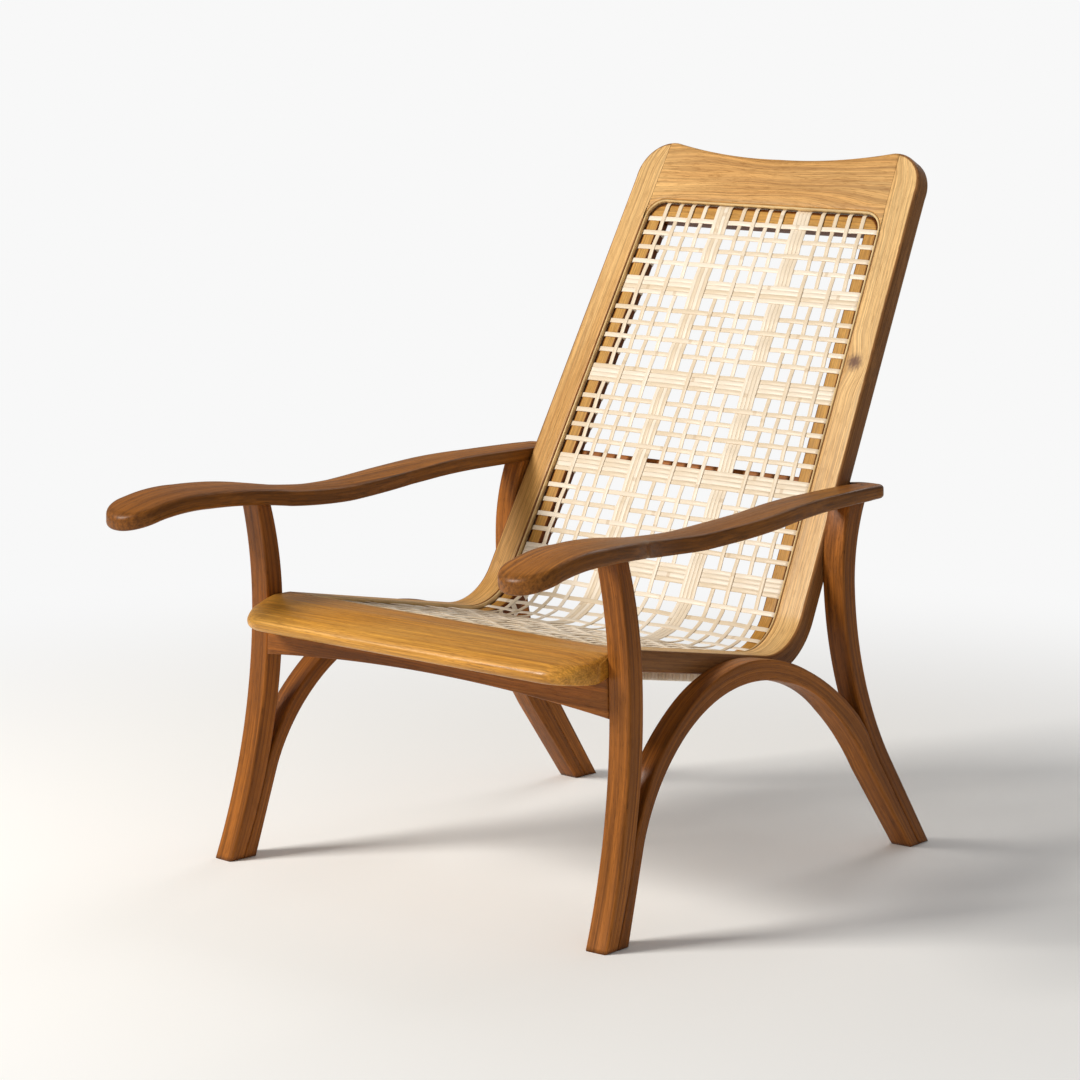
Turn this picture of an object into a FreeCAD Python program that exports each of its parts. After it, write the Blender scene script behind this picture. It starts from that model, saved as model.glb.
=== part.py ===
import FreeCAD, Part
import math
import os
import Sketcher

os.makedirs("parts", exist_ok=True)

# Planters chair: a reclined seat frame with a cane panel, hung between two curved side frames.
# +Z is up, the chair faces -Y, and X runs across it. Lengths are in millimetres, angles in degrees.
# A name ending in "_y" is a distance behind the front edge of the front feet, one ending in
# "_height" is above the floor, and one ending in "_reach" runs up the slope of the back from the floor.
SIZES = {
    # Stance of the two side frames: how far apart, and how they turn and lean inwards
    "foot_half_width": 337.0,
    "front_foot_y": -324.0,
    "toe_angle": 2.45,
    "lean_angle": 2.2,
    "post_width": 34.0,
    # Front leg, bowed back at the knee
    "foot_depth": 24.0,
    "front_knee_y": 61.0,
    "front_knee_height": 330.0,
    "front_knee_depth": 29.0,
    "front_head_y": 38.5,
    "front_head_depth": 24.0,
    # Rear leg, bowed forward at the knee, with a straight shin swept back
    "rear_foot_y": 704.5,
    "rear_shin_y": 611.5,
    "rear_shin_height": 132.0,
    "rear_shin_depth": 27.0,
    "rear_knee_y": 529.0,
    "rear_knee_height": 400.0,
    "rear_knee_depth": 29.5,
    "rear_head_y": 548.0,
    "rear_head_depth": 40.0,
    # Arch between the legs
    "arch_drop": 46.0,
    "arch_crown_depth": 28.5,
    "arch_foot_depth": 21.5,
    # Armrest
    "arm_front_overhang": 209.5,
    "arm_rear_overhang": 31.0,
    "arm_height": 517.5,
    "arm_sway": 17.0,
    "arm_front_depth": 23.0,
    "arm_rear_depth": 19.0,
    "back_joint_drop": 50.5,
    "paddle_width": 87.0,
    # Seat frame: one bent section for the rails, the weaving frame and the cane
    "seat_front_y": 96.0,
    "seat_front_height": 365.0,
    "seat_fall_angle": 10.43,
    "seat_corner_y": 454.4,
    "back_rake_angle": 27.54,
    "bend_radius": 80.0,
    "rail_depth": 28.0,
    "rail_width": 44.0,
    # Crest rail and the opening under it
    "crest_peak_reach": 1071.0,
    "crest_peak_half_width": 194.0,
    "crest_dip": 18.0,
    "crest_shoulder_drop": 57.0,
    "crest_depth": 89.5,
    "opening_corner_radius": 32.0,
    # Front board and the apron under it
    "nose_y": -11.0,
    "board_flat_y": 53.0,
    "board_depth": 26.0,
    "board_corner_radius": 60.0,
    "apron_y": 59.0,
    "apron_depth": 22.0,
    "apron_end_width": 60.0,
    "apron_rise": 19.0,
    # Cross rail behind the back
    "cross_rail_reach": 579.0,
    "cross_rail_height": 28.0,
    "cross_rail_depth": 22.0,
    "cross_rail_recess": 19.0,
    # Border bead and weaving frame inside the opening
    "bead_width": 4.0,
    "bead_depth": 6.5,
    "bead_recess": 0.5,
    "bar_width": 25.0,
    "bar_recess": 5.0,
    "bar_depth": 20.0,
    "seat_bar_depth": 37.0,
    # Cane
    "cane_thickness": 1.0,
    "cane_width": 7.0,
    "wide_cane_width": 27.0,
    "weft_pitch": 22.4,
    "wide_weft_pitch": 36.4,
    "first_weft_run": 30.0,
    "warp_pitch": 23.3,
    "wide_warp_pitch": 35.4,
    # Dowels and pins
    "dowel_diameter": 8.0,
    "dowel_length": 36.0,
    "dowel_spacing": 22.0,
    "arm_dowel_diameter": 10.0,
    "pin_diameter": 5.0,
    "pin_length": 20.0,
    # How far a cutting shape runs past what it cuts
    "overrun": 10.0,
}

# Outlines as shares; every second point of a curved run is one that an arc passes through.
# Edges of the arch, as shares of the stance depth and of the height of that edge
ARCH_OUTER_SHARES = (
    (0.085, 0.37), (0.12, 0.55), (0.15, 0.67), (0.21, 0.805), (0.27, 0.9), (0.36, 0.98),
    (0.44, 1.0), (0.52, 0.975), (0.61, 0.9), (0.71, 0.765), (0.77, 0.65), (0.805, 0.55),
)
ARCH_INNER_SHARES = (
    (0.805, 0.435), (0.75, 0.615), (0.69, 0.76), (0.62, 0.885), (0.54, 0.96), (0.45, 1.0),
    (0.36, 0.98), (0.28, 0.905), (0.21, 0.78), (0.155, 0.62), (0.115, 0.42),
)
# Top of the armrest from tip to rear, as shares of its length and of its sway
ARM_TOP_SHARES = (
    (0.0, 1.26), (0.07, 0.32), (0.165, 0.0), (0.26, 0.18), (0.335, 0.62), (0.405, 0.88), (0.48, 0.97),
    (0.595, 0.67), (0.7, 0.28), (0.76, 0.13), (0.825, 0.08), (0.91, 0.06), (1.0, 0.08),
)
# Edge of the armrest seen from above, as shares of its length and of the paddle's width
ARM_EDGE_SHARES = (
    (0.0, 0.5), (0.015, 0.85), (0.06, 0.985), (0.14, 1.0), (0.22, 0.955), (0.275, 0.85), (0.315, 0.665),
    (0.36, 0.55), (0.42, 0.515), (0.475, 0.575), (0.55, 0.655), (0.62, 0.71), (0.68, 0.71),
    (0.75, 0.665), (0.81, 0.61), (0.915, 0.57), (0.975, 0.545), (0.995, 0.49), (1.0, 0.36),
)
ARM_INSIDE_SHARES = (
    (1.0, -0.06), (0.995, -0.15), (0.99, -0.17), (0.9785, -0.17), (0.9785, 0.0), (0.635, 0.0),
    (0.4, -0.13), (0.165, -0.03), (0.105, -0.01), (0.06, 0.015), (0.015, 0.15),
)
# Section of the front board's nose, as shares of its overhang and of its depth
BOARD_NOSE_SHARES = (
    (0.33, 0.135), (0.67, 0.346), (0.89, 0.577), (1.0, 0.923), (0.95, 1.23),
    (0.83, 1.385), (0.44, 1.25), (0.0, 1.0),
)
# How far an upright bow has moved sideways at half its height
BOW_SHARE = 0.24
# Points that the crest's top line and shoulder pass, between the ends of each
CREST_TOP_SHARES = (0.5, 0.2)
SHOULDER_SHARES = (0.726, 0.263)
# Places of the pins of the weaving frame, up the opening
PIN_REACH_SHARES = (0.65, 0.87)
# Places of the dowels between arch and rail, along the stance
ARCH_DOWEL_SHARES = (0.415, 0.5)
# Narrow cane strands between two wide bands
NARROW_STRANDS = 4

doc = FreeCAD.newDocument("planters_chair")
sheet = doc.addObject("Spreadsheet::Sheet", "Sizes")
for row, (alias, number) in enumerate(SIZES.items(), start=1):
    sheet.set(f"A{row}", alias)
    sheet.set(f"B{row}", str(number))
    sheet.setAlias(f"B{row}", alias)
doc.recompute()


class Size:
    """A size worked out from the sheet: its number now, and the expression that keeps it bound."""

    def __init__(self, value, text):
        self.value = value
        self.text = text

    def __add__(self, other):
        other = as_size(other)
        return Size(self.value + other.value, f"({self.text} + {other.text})")

    def __radd__(self, other):
        return as_size(other) + self

    def __sub__(self, other):
        other = as_size(other)
        return Size(self.value - other.value, f"({self.text} - {other.text})")

    def __rsub__(self, other):
        return as_size(other) - self

    def __mul__(self, other):
        other = as_size(other)
        return Size(self.value * other.value, f"({self.text} * {other.text})")

    def __rmul__(self, other):
        return self * other

    def __truediv__(self, other):
        other = as_size(other)
        return Size(self.value / other.value, f"({self.text} / {other.text})")

    def __neg__(self):
        return Size(-self.value, f"(0 - {self.text})")


def as_size(number):
    """Wrap a plain factor so that it joins a bound sum."""
    if isinstance(number, Size):
        return number
    return Size(float(number), f"{float(number):.9g}")


def size(alias):
    """A driving dimension, read from the sheet."""
    return Size(float(getattr(sheet, alias)), f"Sizes.{alias}")


def sine(angle):
    return Size(math.sin(math.radians(angle.value)), f"sin({angle.text})")


def cosine(angle):
    return Size(math.cos(math.radians(angle.value)), f"cos({angle.text})")


def tangent(angle):
    return Size(math.tan(math.radians(angle.value)), f"tan({angle.text})")


ZERO = as_size(0)
SQUARE = as_size(90)
overrun = size("overrun")
far = 4 * size("foot_half_width")

# Frames that pieces are laid out in
NO_TURN = (ZERO, ZERO, ZERO)


def frame_text(point, turn=NO_TURN):
    """The expression of a placement from a point and its yaw, pitch and roll."""
    place_text = "; ".join(as_size(item).text for item in point)
    turn_text = "; ".join(as_size(item).text for item in turn)
    return f"create(<<placement>>; create(<<vector>>; {place_text}); create(<<rotation>>; {turn_text}))"


def side_frame(side):
    """The tilted frame of one side: its local YZ plane is the middle plane of the legs."""
    corner = (side * size("foot_half_width"), size("front_foot_y"), ZERO)
    return frame_text(corner, (side * size("toe_angle"), -side * size("lean_angle"), ZERO))


SIDES = {"left": 1, "right": -1}
SIDE_FRAMES = {side_name: side_frame(side) for side_name, side in SIDES.items()}
CHAIR_FRAME = frame_text((ZERO, size("front_foot_y"), ZERO))

rake = size("back_rake_angle")
fall = size("seat_fall_angle")
corner_y = size("seat_corner_y")
corner_height = size("seat_front_height") - (corner_y - size("seat_front_y")) * tangent(fall)
back_floor_y = corner_y - corner_height * tangent(rake)


def back_frame(depth):
    """The frame of the back at a depth under its face: X across, Y up the slope, Z out of the face."""
    corner = (ZERO, size("front_foot_y") + back_floor_y + depth * cosine(rake), -depth * sine(rake))
    return frame_text(corner, (ZERO, ZERO, SQUARE - rake))


BACK_FRAME = back_frame(ZERO)

# Distances outwards from the middle plane of the legs
half_post = size("post_width") / 2
rail_inner = -(half_post + size("rail_width"))
bead_inner = rail_inner - size("bead_width")
bar_inner = bead_inner - size("bar_width")


def place(thing, frame, point=NO_TURN, turn=NO_TURN):
    """Put an object in a frame and keep it bound there."""
    thing.setExpression("Placement", f"{frame} * {frame_text(point, turn)}")


def half_width_at(offset, y, height):
    """How far from the chair's middle the side plane at an offset lies, at a depth and a height."""
    toe = size("toe_angle")
    lean = size("lean_angle")
    level = size("foot_half_width") + offset / (cosine(toe) * cosine(lean))
    return level - tangent(toe) * y - tangent(lean) / cosine(toe) * height


def half_width_up_back(offset, reach):
    """The same, on the face of the back."""
    return half_width_at(offset, back_floor_y + reach * sine(rake), reach * cosine(rake))


opening_top_reach = size("crest_peak_reach") - size("crest_depth")


# Outlines: a start point and steps, each an arc's middle point or None, and an end point
def line_to(point):
    return (None, point)


def arc_to(via, point):
    return (via, point)


def arcs_through(points):
    """Arcs through a run of points, each second one lying on the arc between its neighbours."""
    return [arc_to(via, point) for via, point in zip(points[0::2], points[1::2])]


def part_way(first, last, across_share, up_share):
    """A point between two others."""
    return (first[0] + (last[0] - first[0]) * across_share, first[1] + (last[1] - first[1]) * up_share)


def bow(upright, end):
    """The middle of an arc that leaves one point upright and runs to another."""
    return part_way(upright, end, BOW_SHARE, 0.5)


def both_halves(start, half):
    """The outline whose second half mirrors the first across the chair's middle plane."""
    points = [start] + [point for _, point in half]
    steps = half + [line_to((-points[-1][0], points[-1][1]))]
    for (via, _), there in zip(reversed(half), reversed(points[:-1])):
        steps.append((via and (-via[0], via[1]), (-there[0], there[1])))
    return steps


def flat(point):
    return FreeCAD.Vector(point[0].value, point[1].value, 0)


def arc_geometry(first, via, last):
    """An anticlockwise arc through three points, and whether it runs from the last to the first."""
    circle = Part.Arc(first, via, last).toShape().Curve
    swapped = (via - first).cross(last - via).z < 0
    start, end = (last, first) if swapped else (first, last)
    start_turn, end_turn = (math.atan2(p.y - circle.Center.y, p.x - circle.Center.x) for p in (start, end))
    if end_turn < start_turn:
        end_turn += 2 * math.pi
    round_line = Part.Circle(circle.Center, FreeCAD.Vector(0, 0, 1), circle.Radius)
    return Part.ArcOfCircle(round_line, start_turn, end_turn), swapped


def pin_point(sketch, geometry, end, point):
    """Hold a point of a sketch at its two bound distances from the origin."""
    for kind, measure in (("DistanceX", point[0]), ("DistanceY", point[1])):
        index = sketch.addConstraint(Sketcher.Constraint(kind, -1, 1, geometry, end, measure.value))
        sketch.setExpression(f"Constraints[{index}]", measure.text)


def draw_outline(sketch, start, steps):
    """Draw a closed outline of lines and arcs whose points are all bound to sizes."""
    here = start
    ends = []
    for via, there in steps:
        begin, finish = 1, 2
        if via is None:
            index = sketch.addGeometry(Part.LineSegment(flat(here), flat(there)), False)
        else:
            arc, swapped = arc_geometry(flat(here), flat(via), flat(there))
            index = sketch.addGeometry(arc, False)
            if swapped:
                begin, finish = 2, 1
            mark = sketch.addGeometry(Part.Point(flat(via)), True)
            pin_point(sketch, mark, 1, via)
            sketch.addConstraint(Sketcher.Constraint("PointOnObject", mark, 1, index))
        pin_point(sketch, index, begin, here)
        ends.append((index, begin, finish))
        here = there
    for (before, _, finish), (after, begin, _) in zip(ends, ends[1:] + ends[:1]):
        sketch.addConstraint(Sketcher.Constraint("Coincident", before, finish, after, begin))


def blank(name, plane, start, steps, length, frame, downwards=False):
    """A body padded from one outline: both ways from its plane, or down from it."""
    body = doc.addObject("PartDesign::Body", name)
    sketch = body.newObject("Sketcher::SketchObject", f"{name}_outline")
    origin = [item for item in body.Origin.OriginFeatures if item.Role == f"{plane}_Plane"]
    sketch.AttachmentSupport = [(origin[0], "")]
    sketch.MapMode = "FlatFace"
    draw_outline(sketch, start, steps)
    doc.recompute()
    pad = body.newObject("PartDesign::Pad", f"{name}_pad")
    pad.Profile = sketch
    pad.SideType = "One side" if downwards else "Symmetric"
    pad.Reversed = downwards
    pad.setExpression("Length", length.text)
    place(body, frame)
    return body


# Booleans
def common(name, first, second):
    part = doc.addObject("Part::MultiCommon", name)
    part.Shapes = [first, second]
    return part


def cut(name, base, tools):
    """A piece less its tools; with several, they are joined first."""
    tool = tools[0]
    if len(tools) > 1:
        tool = doc.addObject("Part::MultiFuse", f"{name}_tools")
        tool.Shapes = tools
    part = doc.addObject("Part::Cut", name)
    part.Base = base
    part.Tool = tool
    return part


def group(name, things):
    """Separate solids that share one sub-part."""
    part = doc.addObject("Part::Compound", name)
    part.Links = things
    return part


def side_slab(name, side_name, outer, inner):
    """A block of one side frame between two distances out from the middle plane of the legs."""
    slab = doc.addObject("Part::Box", name)
    slab.setExpression("Length", (outer - inner).text)
    slab.setExpression("Width", (2 * far).text)
    slab.setExpression("Height", (2 * far).text)
    start = inner if SIDES[side_name] > 0 else -outer
    place(slab, SIDE_FRAMES[side_name], (start, -far, -far))
    return slab


def between_sides(name, base, offset, extra=()):
    """A crosswise piece trimmed by the planes at one offset on both sides."""
    trims = [side_slab(f"{name}_{side_name}_trim", side_name, offset + far, offset) for side_name in SIDES]
    return cut(name, base, trims + list(extra))


# Pieces before their holes are made, and the pegs that make holes in each
bodies = {}
pegs_in = {}
peg_groups = {}

# Turns that lay a peg along X or Y
ALONG_X = (ZERO, SQUARE, ZERO)
ALONG_Y = (ZERO, ZERO, SQUARE)


def peg(group_name, frame, point, turn, diameter, length, joined):
    """A round peg about its middle point, which cuts its own hole in the pieces that it joins."""
    members = peg_groups.setdefault(group_name, [])
    pin = doc.addObject("Part::Cylinder", f"{group_name}_{len(members)}")
    pin.setExpression("Radius", (diameter / 2).text)
    pin.setExpression("Height", length.text)
    to_middle = frame_text((ZERO, ZERO, -length / 2))
    pin.setExpression("Placement", f"{frame} * {frame_text(point, turn)} * {to_middle}")
    members.append(pin)
    for label in joined:
        pegs_in.setdefault(label, []).append(pin)


# Levels of the seat frame, measured down from its sitting face in the side view
half_turn = (SQUARE - rake + fall) / 2
bend_run = size("bend_radius") * tangent(half_turn)
bend_reach = corner_height / cosine(rake) + bend_run
seat_up = (sine(fall), cosine(fall))
seat_along = (cosine(fall), -sine(fall))
back_out = (-cosine(rake), sine(rake))
back_up = (sine(rake), cosine(rake))
bend_out = (cosine(SQUARE - fall + half_turn), sine(SQUARE - fall + half_turn))
seat_end = (corner_y - bend_run * seat_along[0], corner_height - bend_run * seat_along[1])
bend_centre = (seat_end[0] + size("bend_radius") * seat_up[0], seat_end[1] + size("bend_radius") * seat_up[1])


def sunk(point, way, depth):
    return (point[0] - depth * way[0], point[1] - depth * way[1])


def on_back(reach, depth):
    """A point at a reach up the back and a depth under its face."""
    return sunk((back_floor_y + reach * back_up[0], reach * back_up[1]), back_out, depth)


def on_seat(y, depth):
    """A point of the seat above or below one spot of the floor, at a depth under its face."""
    return (y, size("seat_front_height") - (y - size("seat_front_y")) * tangent(fall) - depth / cosine(fall))


def bench_outline(top, bottom, front_y, end_reach, seat_bottom=None):
    """The bent band between two depths under the face, from the seat's front up to a reach."""
    seat_bottom = seat_bottom or bottom
    start = on_seat(front_y, top)
    middle_reach = size("bend_radius") + (bottom + seat_bottom) / 2
    return start, [
        line_to(sunk(seat_end, seat_up, top)),
        arc_to(sunk(bend_centre, bend_out, size("bend_radius") + top), on_back(bend_reach, top)),
        line_to(on_back(end_reach, top)),
        line_to(on_back(end_reach, bottom)),
        line_to(on_back(bend_reach, bottom)),
        arc_to(sunk(bend_centre, bend_out, middle_reach), sunk(seat_end, seat_up, seat_bottom)),
        line_to(on_seat(front_y, seat_bottom)),
        line_to(start),
    ]


# Floor, which cuts the feet level
floor = doc.addObject("Part::Box", "floor")
floor.setExpression("Length", (2 * far).text)
floor.setExpression("Width", (2 * far).text)
floor.setExpression("Height", (3 * overrun).text)
place(floor, CHAIR_FRAME, (-far, -far, -3 * overrun))

foot_level = -2 * overrun
stance_depth = size("rear_foot_y") + size("foot_depth")
head_height = size("arm_height") - size("arm_sway") - overrun / 5
arm_tip_y = size("front_head_y") - size("arm_front_overhang")
arm_length = size("rear_head_y") + size("rear_head_depth") + size("arm_rear_overhang") - arm_tip_y

front_knee = (size("front_knee_y"), size("front_knee_height"))
back_of_front_knee = (front_knee[0] + size("front_knee_depth"), front_knee[1])
front_sweep = 4 * BOW_SHARE * front_knee[0] / front_knee[1] * foot_level
front_foot = (2 * front_sweep, foot_level)
back_of_front_foot = (size("foot_depth") + 2 * front_sweep, foot_level)

shin = (size("rear_shin_y"), size("rear_shin_height"))
rear_sweep = (size("rear_foot_y") - shin[0]) / shin[1]
rear_foot = (size("rear_foot_y") - rear_sweep * foot_level, foot_level)
rear_knee = (size("rear_knee_y"), size("rear_knee_height"))


def front_leg_outline():
    """Foot forward, knee back, head leaning forward again under the arm."""
    head = (size("front_head_y"), head_height)
    back_head = (head[0] + size("front_head_depth"), head_height)
    return front_foot, [
        line_to(back_of_front_foot),
        arc_to(bow(back_of_front_knee, back_of_front_foot), back_of_front_knee),
        arc_to(bow(back_of_front_knee, back_head), back_head),
        line_to(head),
        arc_to(bow(front_knee, head), front_knee),
        arc_to(bow(front_knee, front_foot), front_foot),
    ]


def rear_leg_outline():
    """Straight shin to a foot swept back, knee forward, head leaning back under the arm."""
    back_knee = (rear_knee[0] + size("rear_knee_depth"), rear_knee[1] - size("rear_knee_depth") / 2)
    back_shin = (shin[0] + size("rear_shin_depth"), shin[1])
    back_foot = (rear_foot[0] + size("foot_depth"), foot_level)
    head = (size("rear_head_y"), head_height)
    back_head = (head[0] + size("rear_head_depth"), head_height)
    return rear_foot, [
        line_to(back_foot),
        line_to(back_shin),
        arc_to(bow(back_knee, back_shin), back_knee),
        arc_to(bow(back_knee, back_head), back_head),
        line_to(head),
        arc_to(bow(rear_knee, head), rear_knee),
        arc_to(bow(rear_knee, shin), shin),
        line_to(rear_foot),
    ]


def arch_outline():
    """A deep crown on two slim feet, drawn into both legs and cut back by them."""
    height = size("seat_front_height") - size("arch_drop")
    inner_height = height - size("arch_crown_depth")
    outer = [(share * stance_depth, level * height) for share, level in ARCH_OUTER_SHARES]
    inner = [(share * stance_depth, level * inner_height) for share, level in ARCH_INNER_SHARES]
    inside = size("foot_depth") / 2
    start = (inside, foot_level)
    return start, [
        line_to(outer[0]),
        *arcs_through(outer[1:] + [shin]),
        line_to((shin[0] + inside, shin[1])),
        line_to((rear_foot[0] + inside, foot_level)),
        line_to((rear_foot[0] - size("arch_foot_depth"), foot_level)),
        line_to(inner[0]),
        *arcs_through(inner[1:]),
        line_to((back_of_front_foot[0] + size("arch_foot_depth"), foot_level)),
        line_to(start),
    ]


def arm_side_outline():
    """The armrest from the side: an S-shaped board that thins towards the rear."""
    taper = size("arm_rear_depth") - size("arm_front_depth")
    top = []
    under = []
    for share, drop in ARM_TOP_SHARES:
        y = arm_tip_y + share * arm_length
        height = size("arm_height") - drop * size("arm_sway")
        top.append((y, height))
        under.append((y, height - size("arm_front_depth") - share * taper))
    under.reverse()
    steps = arcs_through(top[1:]) + [line_to(under[0])] + arcs_through(under[1:]) + [line_to(top[0])]
    return top[0], steps


def arm_plan_outline(side):
    """The armrest from above: a round-ended paddle, a neck, a swell and a heel behind the side rail."""
    def edge_points(shares):
        across = [side * (width * size("paddle_width") - half_post) for _, width in shares]
        along = [arm_tip_y + share * arm_length for share, _ in shares]
        return list(zip(across, along))

    outside = edge_points(ARM_EDGE_SHARES)
    inside = edge_points(ARM_INSIDE_SHARES)
    steps = arcs_through(outside[1:]) + [line_to(inside[0])] + arcs_through(inside[1:3])
    steps += [line_to(point) for point in inside[3:6]] + arcs_through(inside[6:] + outside[:1])
    return outside[0], steps


# Side frames
for side_name, side in SIDES.items():
    frame = SIDE_FRAMES[side_name]
    arm_side = blank(f"{side_name}_arm_side", "YZ", *arm_side_outline(), far, frame)
    arm_plan = blank(f"{side_name}_arm_plan", "XY", *arm_plan_outline(side), far, frame)
    arm = common(f"{side_name}_arm_blank", arm_side, arm_plan)
    front = blank(f"{side_name}_front_blank", "YZ", *front_leg_outline(), size("post_width"), frame)
    rear = blank(f"{side_name}_rear_blank", "YZ", *rear_leg_outline(), size("post_width"), frame)
    arch = blank(f"{side_name}_arch_blank", "YZ", *arch_outline(), size("post_width"), frame)
    bodies[f"{side_name}_armrest"] = arm
    bodies[f"{side_name}_front_leg"] = cut(f"{side_name}_front_leg_body", front, [arm, floor])
    bodies[f"{side_name}_rear_leg"] = cut(f"{side_name}_rear_leg_body", rear, [arm, floor])
    bodies[f"{side_name}_arch"] = cut(f"{side_name}_arch_body", arch, [front, rear, floor])


# Crest and opening, drawn on the face of the back
def crest_top():
    """Half of the chair's top line, from its middle out to the rail's outer face."""
    peak = (size("crest_peak_half_width"), size("crest_peak_reach"))
    middle = (ZERO, peak[1] - size("crest_dip"))
    shoulder_reach = peak[1] - size("crest_shoulder_drop")
    shoulder = (half_width_up_back(-half_post, shoulder_reach), shoulder_reach)
    return middle, [
        arc_to(part_way(middle, peak, *CREST_TOP_SHARES), peak),
        arc_to(part_way(peak, shoulder, *SHOULDER_SHARES), shoulder),
    ]


def quarter_middle(lead, foot):
    """The middle of a quarter circle from a level edge down to an upright one."""
    corner_share = cosine(SQUARE / 2)
    return part_way(lead, foot, corner_share, 1 - corner_share)


def opening_corner(inset, offset):
    """The opening's rounded corner: where it leaves the top edge, its middle and its foot."""
    radius = size("opening_corner_radius") - inset
    top = opening_top_reach - inset
    foot = (half_width_up_back(offset, top - radius), top - radius)
    lead = (foot[0] - radius, top)
    return lead, quarter_middle(lead, foot), foot


crest_middle, crest_steps = crest_top()
shoulder = crest_steps[-1][1]
contour_half = crest_steps + [line_to((far / 2, shoulder[1] - overrun)), line_to((far / 2, -far))]
contour = blank("crest_contour", "XY", crest_middle, both_halves(crest_middle, contour_half), 2 * far, BACK_FRAME)

# Side rails, bent from the seat up into the back
rail_start, rail_steps = bench_outline(ZERO, size("rail_depth"), size("seat_front_y"),
                                       size("crest_peak_reach") + overrun)
rail_band = blank("rail_band", "YZ", rail_start, rail_steps, far, CHAIR_FRAME)
for side_name in SIDES:
    slab = side_slab(f"{side_name}_rail_slab", side_name, -half_post, rail_inner)
    strip = common(f"{side_name}_rail_strip", rail_band, slab)
    bodies[f"{side_name}_side_rail"] = common(f"{side_name}_rail_body", strip, contour)

# Crest rail, between the side rails
lead, corner, foot = opening_corner(ZERO, rail_inner + size("bead_recess"))
crest_half = crest_steps + [
    line_to((far / 2, shoulder[1])),
    line_to((far / 2, foot[1])),
    line_to(foot),
    arc_to(corner, lead),
]
crest_blank = blank("crest_blank", "XY", crest_middle, both_halves(crest_middle, crest_half),
                    size("rail_depth"), BACK_FRAME, downwards=True)
bodies["crest_rail"] = between_sides("crest_body", crest_blank, rail_inner)

# Front board: a rounded nose in front of the legs, a flat top that meets the seat
nose_y = size("nose_y")
board_top = size("seat_front_height")
board_bottom = board_top - size("board_depth")
board_rear = size("seat_front_y")
board_flat_y = size("board_flat_y")
nose_points = [(board_flat_y - share * (board_flat_y - nose_y), board_top - drop * size("board_depth"))
               for share, drop in BOARD_NOSE_SHARES]
board_steps = [
    line_to((board_flat_y, board_top)),
    *arcs_through(nose_points),
    line_to((board_rear, board_bottom)),
    line_to((board_rear, board_top)),
]
board_band = blank("board_band", "YZ", (board_rear, board_top), board_steps, far, CHAIR_FRAME)
corner_radius = size("board_corner_radius")
plan_front = nose_y - overrun / 10
corner_foot = (half_width_at(-half_post, plan_front + corner_radius, board_bottom), plan_front + corner_radius)
corner_lead = (corner_foot[0] - corner_radius, plan_front)
board_half = [
    line_to(corner_lead),
    arc_to(quarter_middle(corner_lead, corner_foot), corner_foot),
    line_to((corner_foot[0] + overrun, corner_foot[1] + overrun)),
    line_to((corner_foot[0] + overrun, board_rear + overrun)),
]
plan_middle = (ZERO, plan_front)
board_plan = blank("board_plan", "XY", plan_middle, both_halves(plan_middle, board_half), 2 * far, CHAIR_FRAME)
board_blank = common("board_blank", board_band, board_plan)
bodies["front_seat_rail"] = between_sides("board_body", board_blank, -half_post)

# Apron under the board, with an arched lower edge
apron_half = size("foot_half_width")
apron_end = (apron_half, board_bottom - size("apron_end_width"))
apron_crown = (ZERO, apron_end[1] + size("apron_rise"))
apron_steps = [
    line_to((apron_half, board_bottom)),
    line_to((-apron_half, board_bottom)),
    line_to((-apron_half, apron_end[1])),
    arc_to(apron_crown, apron_end),
]
apron_middle_y = size("apron_y") + size("apron_depth") / 2
apron_frame = frame_text((ZERO, size("front_foot_y") + apron_middle_y, ZERO))
apron_blank = blank("apron_blank", "XZ", apron_end, apron_steps, size("apron_depth"), apron_frame)
bodies["front_apron"] = between_sides("apron_body", apron_blank, -half_post)

# Weaving frame: four bars that carry the cane inside the opening
bar_top = size("bar_recess")
bar_bottom = bar_top + size("bar_depth")
seat_bar_bottom = bar_top + size("seat_bar_depth")
bar_front_y = size("seat_front_y") + size("bead_width")
bar_rear_y = bar_front_y + size("bar_width")
bar_lead, bar_corner, bar_foot = opening_corner(size("bead_width"), bead_inner)
bar_start, bar_steps = bench_outline(bar_top, bar_bottom, bar_rear_y, bar_foot[1], seat_bar_bottom)
bar_band = blank("bar_band", "YZ", bar_start, bar_steps, far, CHAIR_FRAME)
for side_name in SIDES:
    slab = side_slab(f"{side_name}_bar_slab", side_name, bead_inner, bar_inner)
    bodies[f"{side_name}_weaving_bar"] = common(f"{side_name}_bar_body", bar_band, slab)

bar_middle = (ZERO, bar_lead[1])
top_bar_half = [line_to(bar_lead), arc_to(bar_corner, bar_foot)]
bodies["top_weaving_bar"] = blank("top_bar_blank", "XY", bar_middle, both_halves(bar_middle, top_bar_half),
                                  size("bar_depth"), back_frame(bar_top), downwards=True)


def seat_strip(name, front_y, rear_y, top, bottom):
    """A straight strip across the front of the seat, between two depths under its face."""
    start = on_seat(front_y, top)
    steps = [line_to(on_seat(rear_y, top)), line_to(on_seat(rear_y, bottom)), line_to(on_seat(front_y, bottom)),
             line_to(start)]
    return blank(name, "YZ", start, steps, far, CHAIR_FRAME)


front_bar = seat_strip("front_bar_blank", bar_front_y, bar_rear_y, bar_top, seat_bar_bottom)
bodies["front_weaving_bar"] = between_sides("front_bar_body", front_bar, bead_inner)

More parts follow.
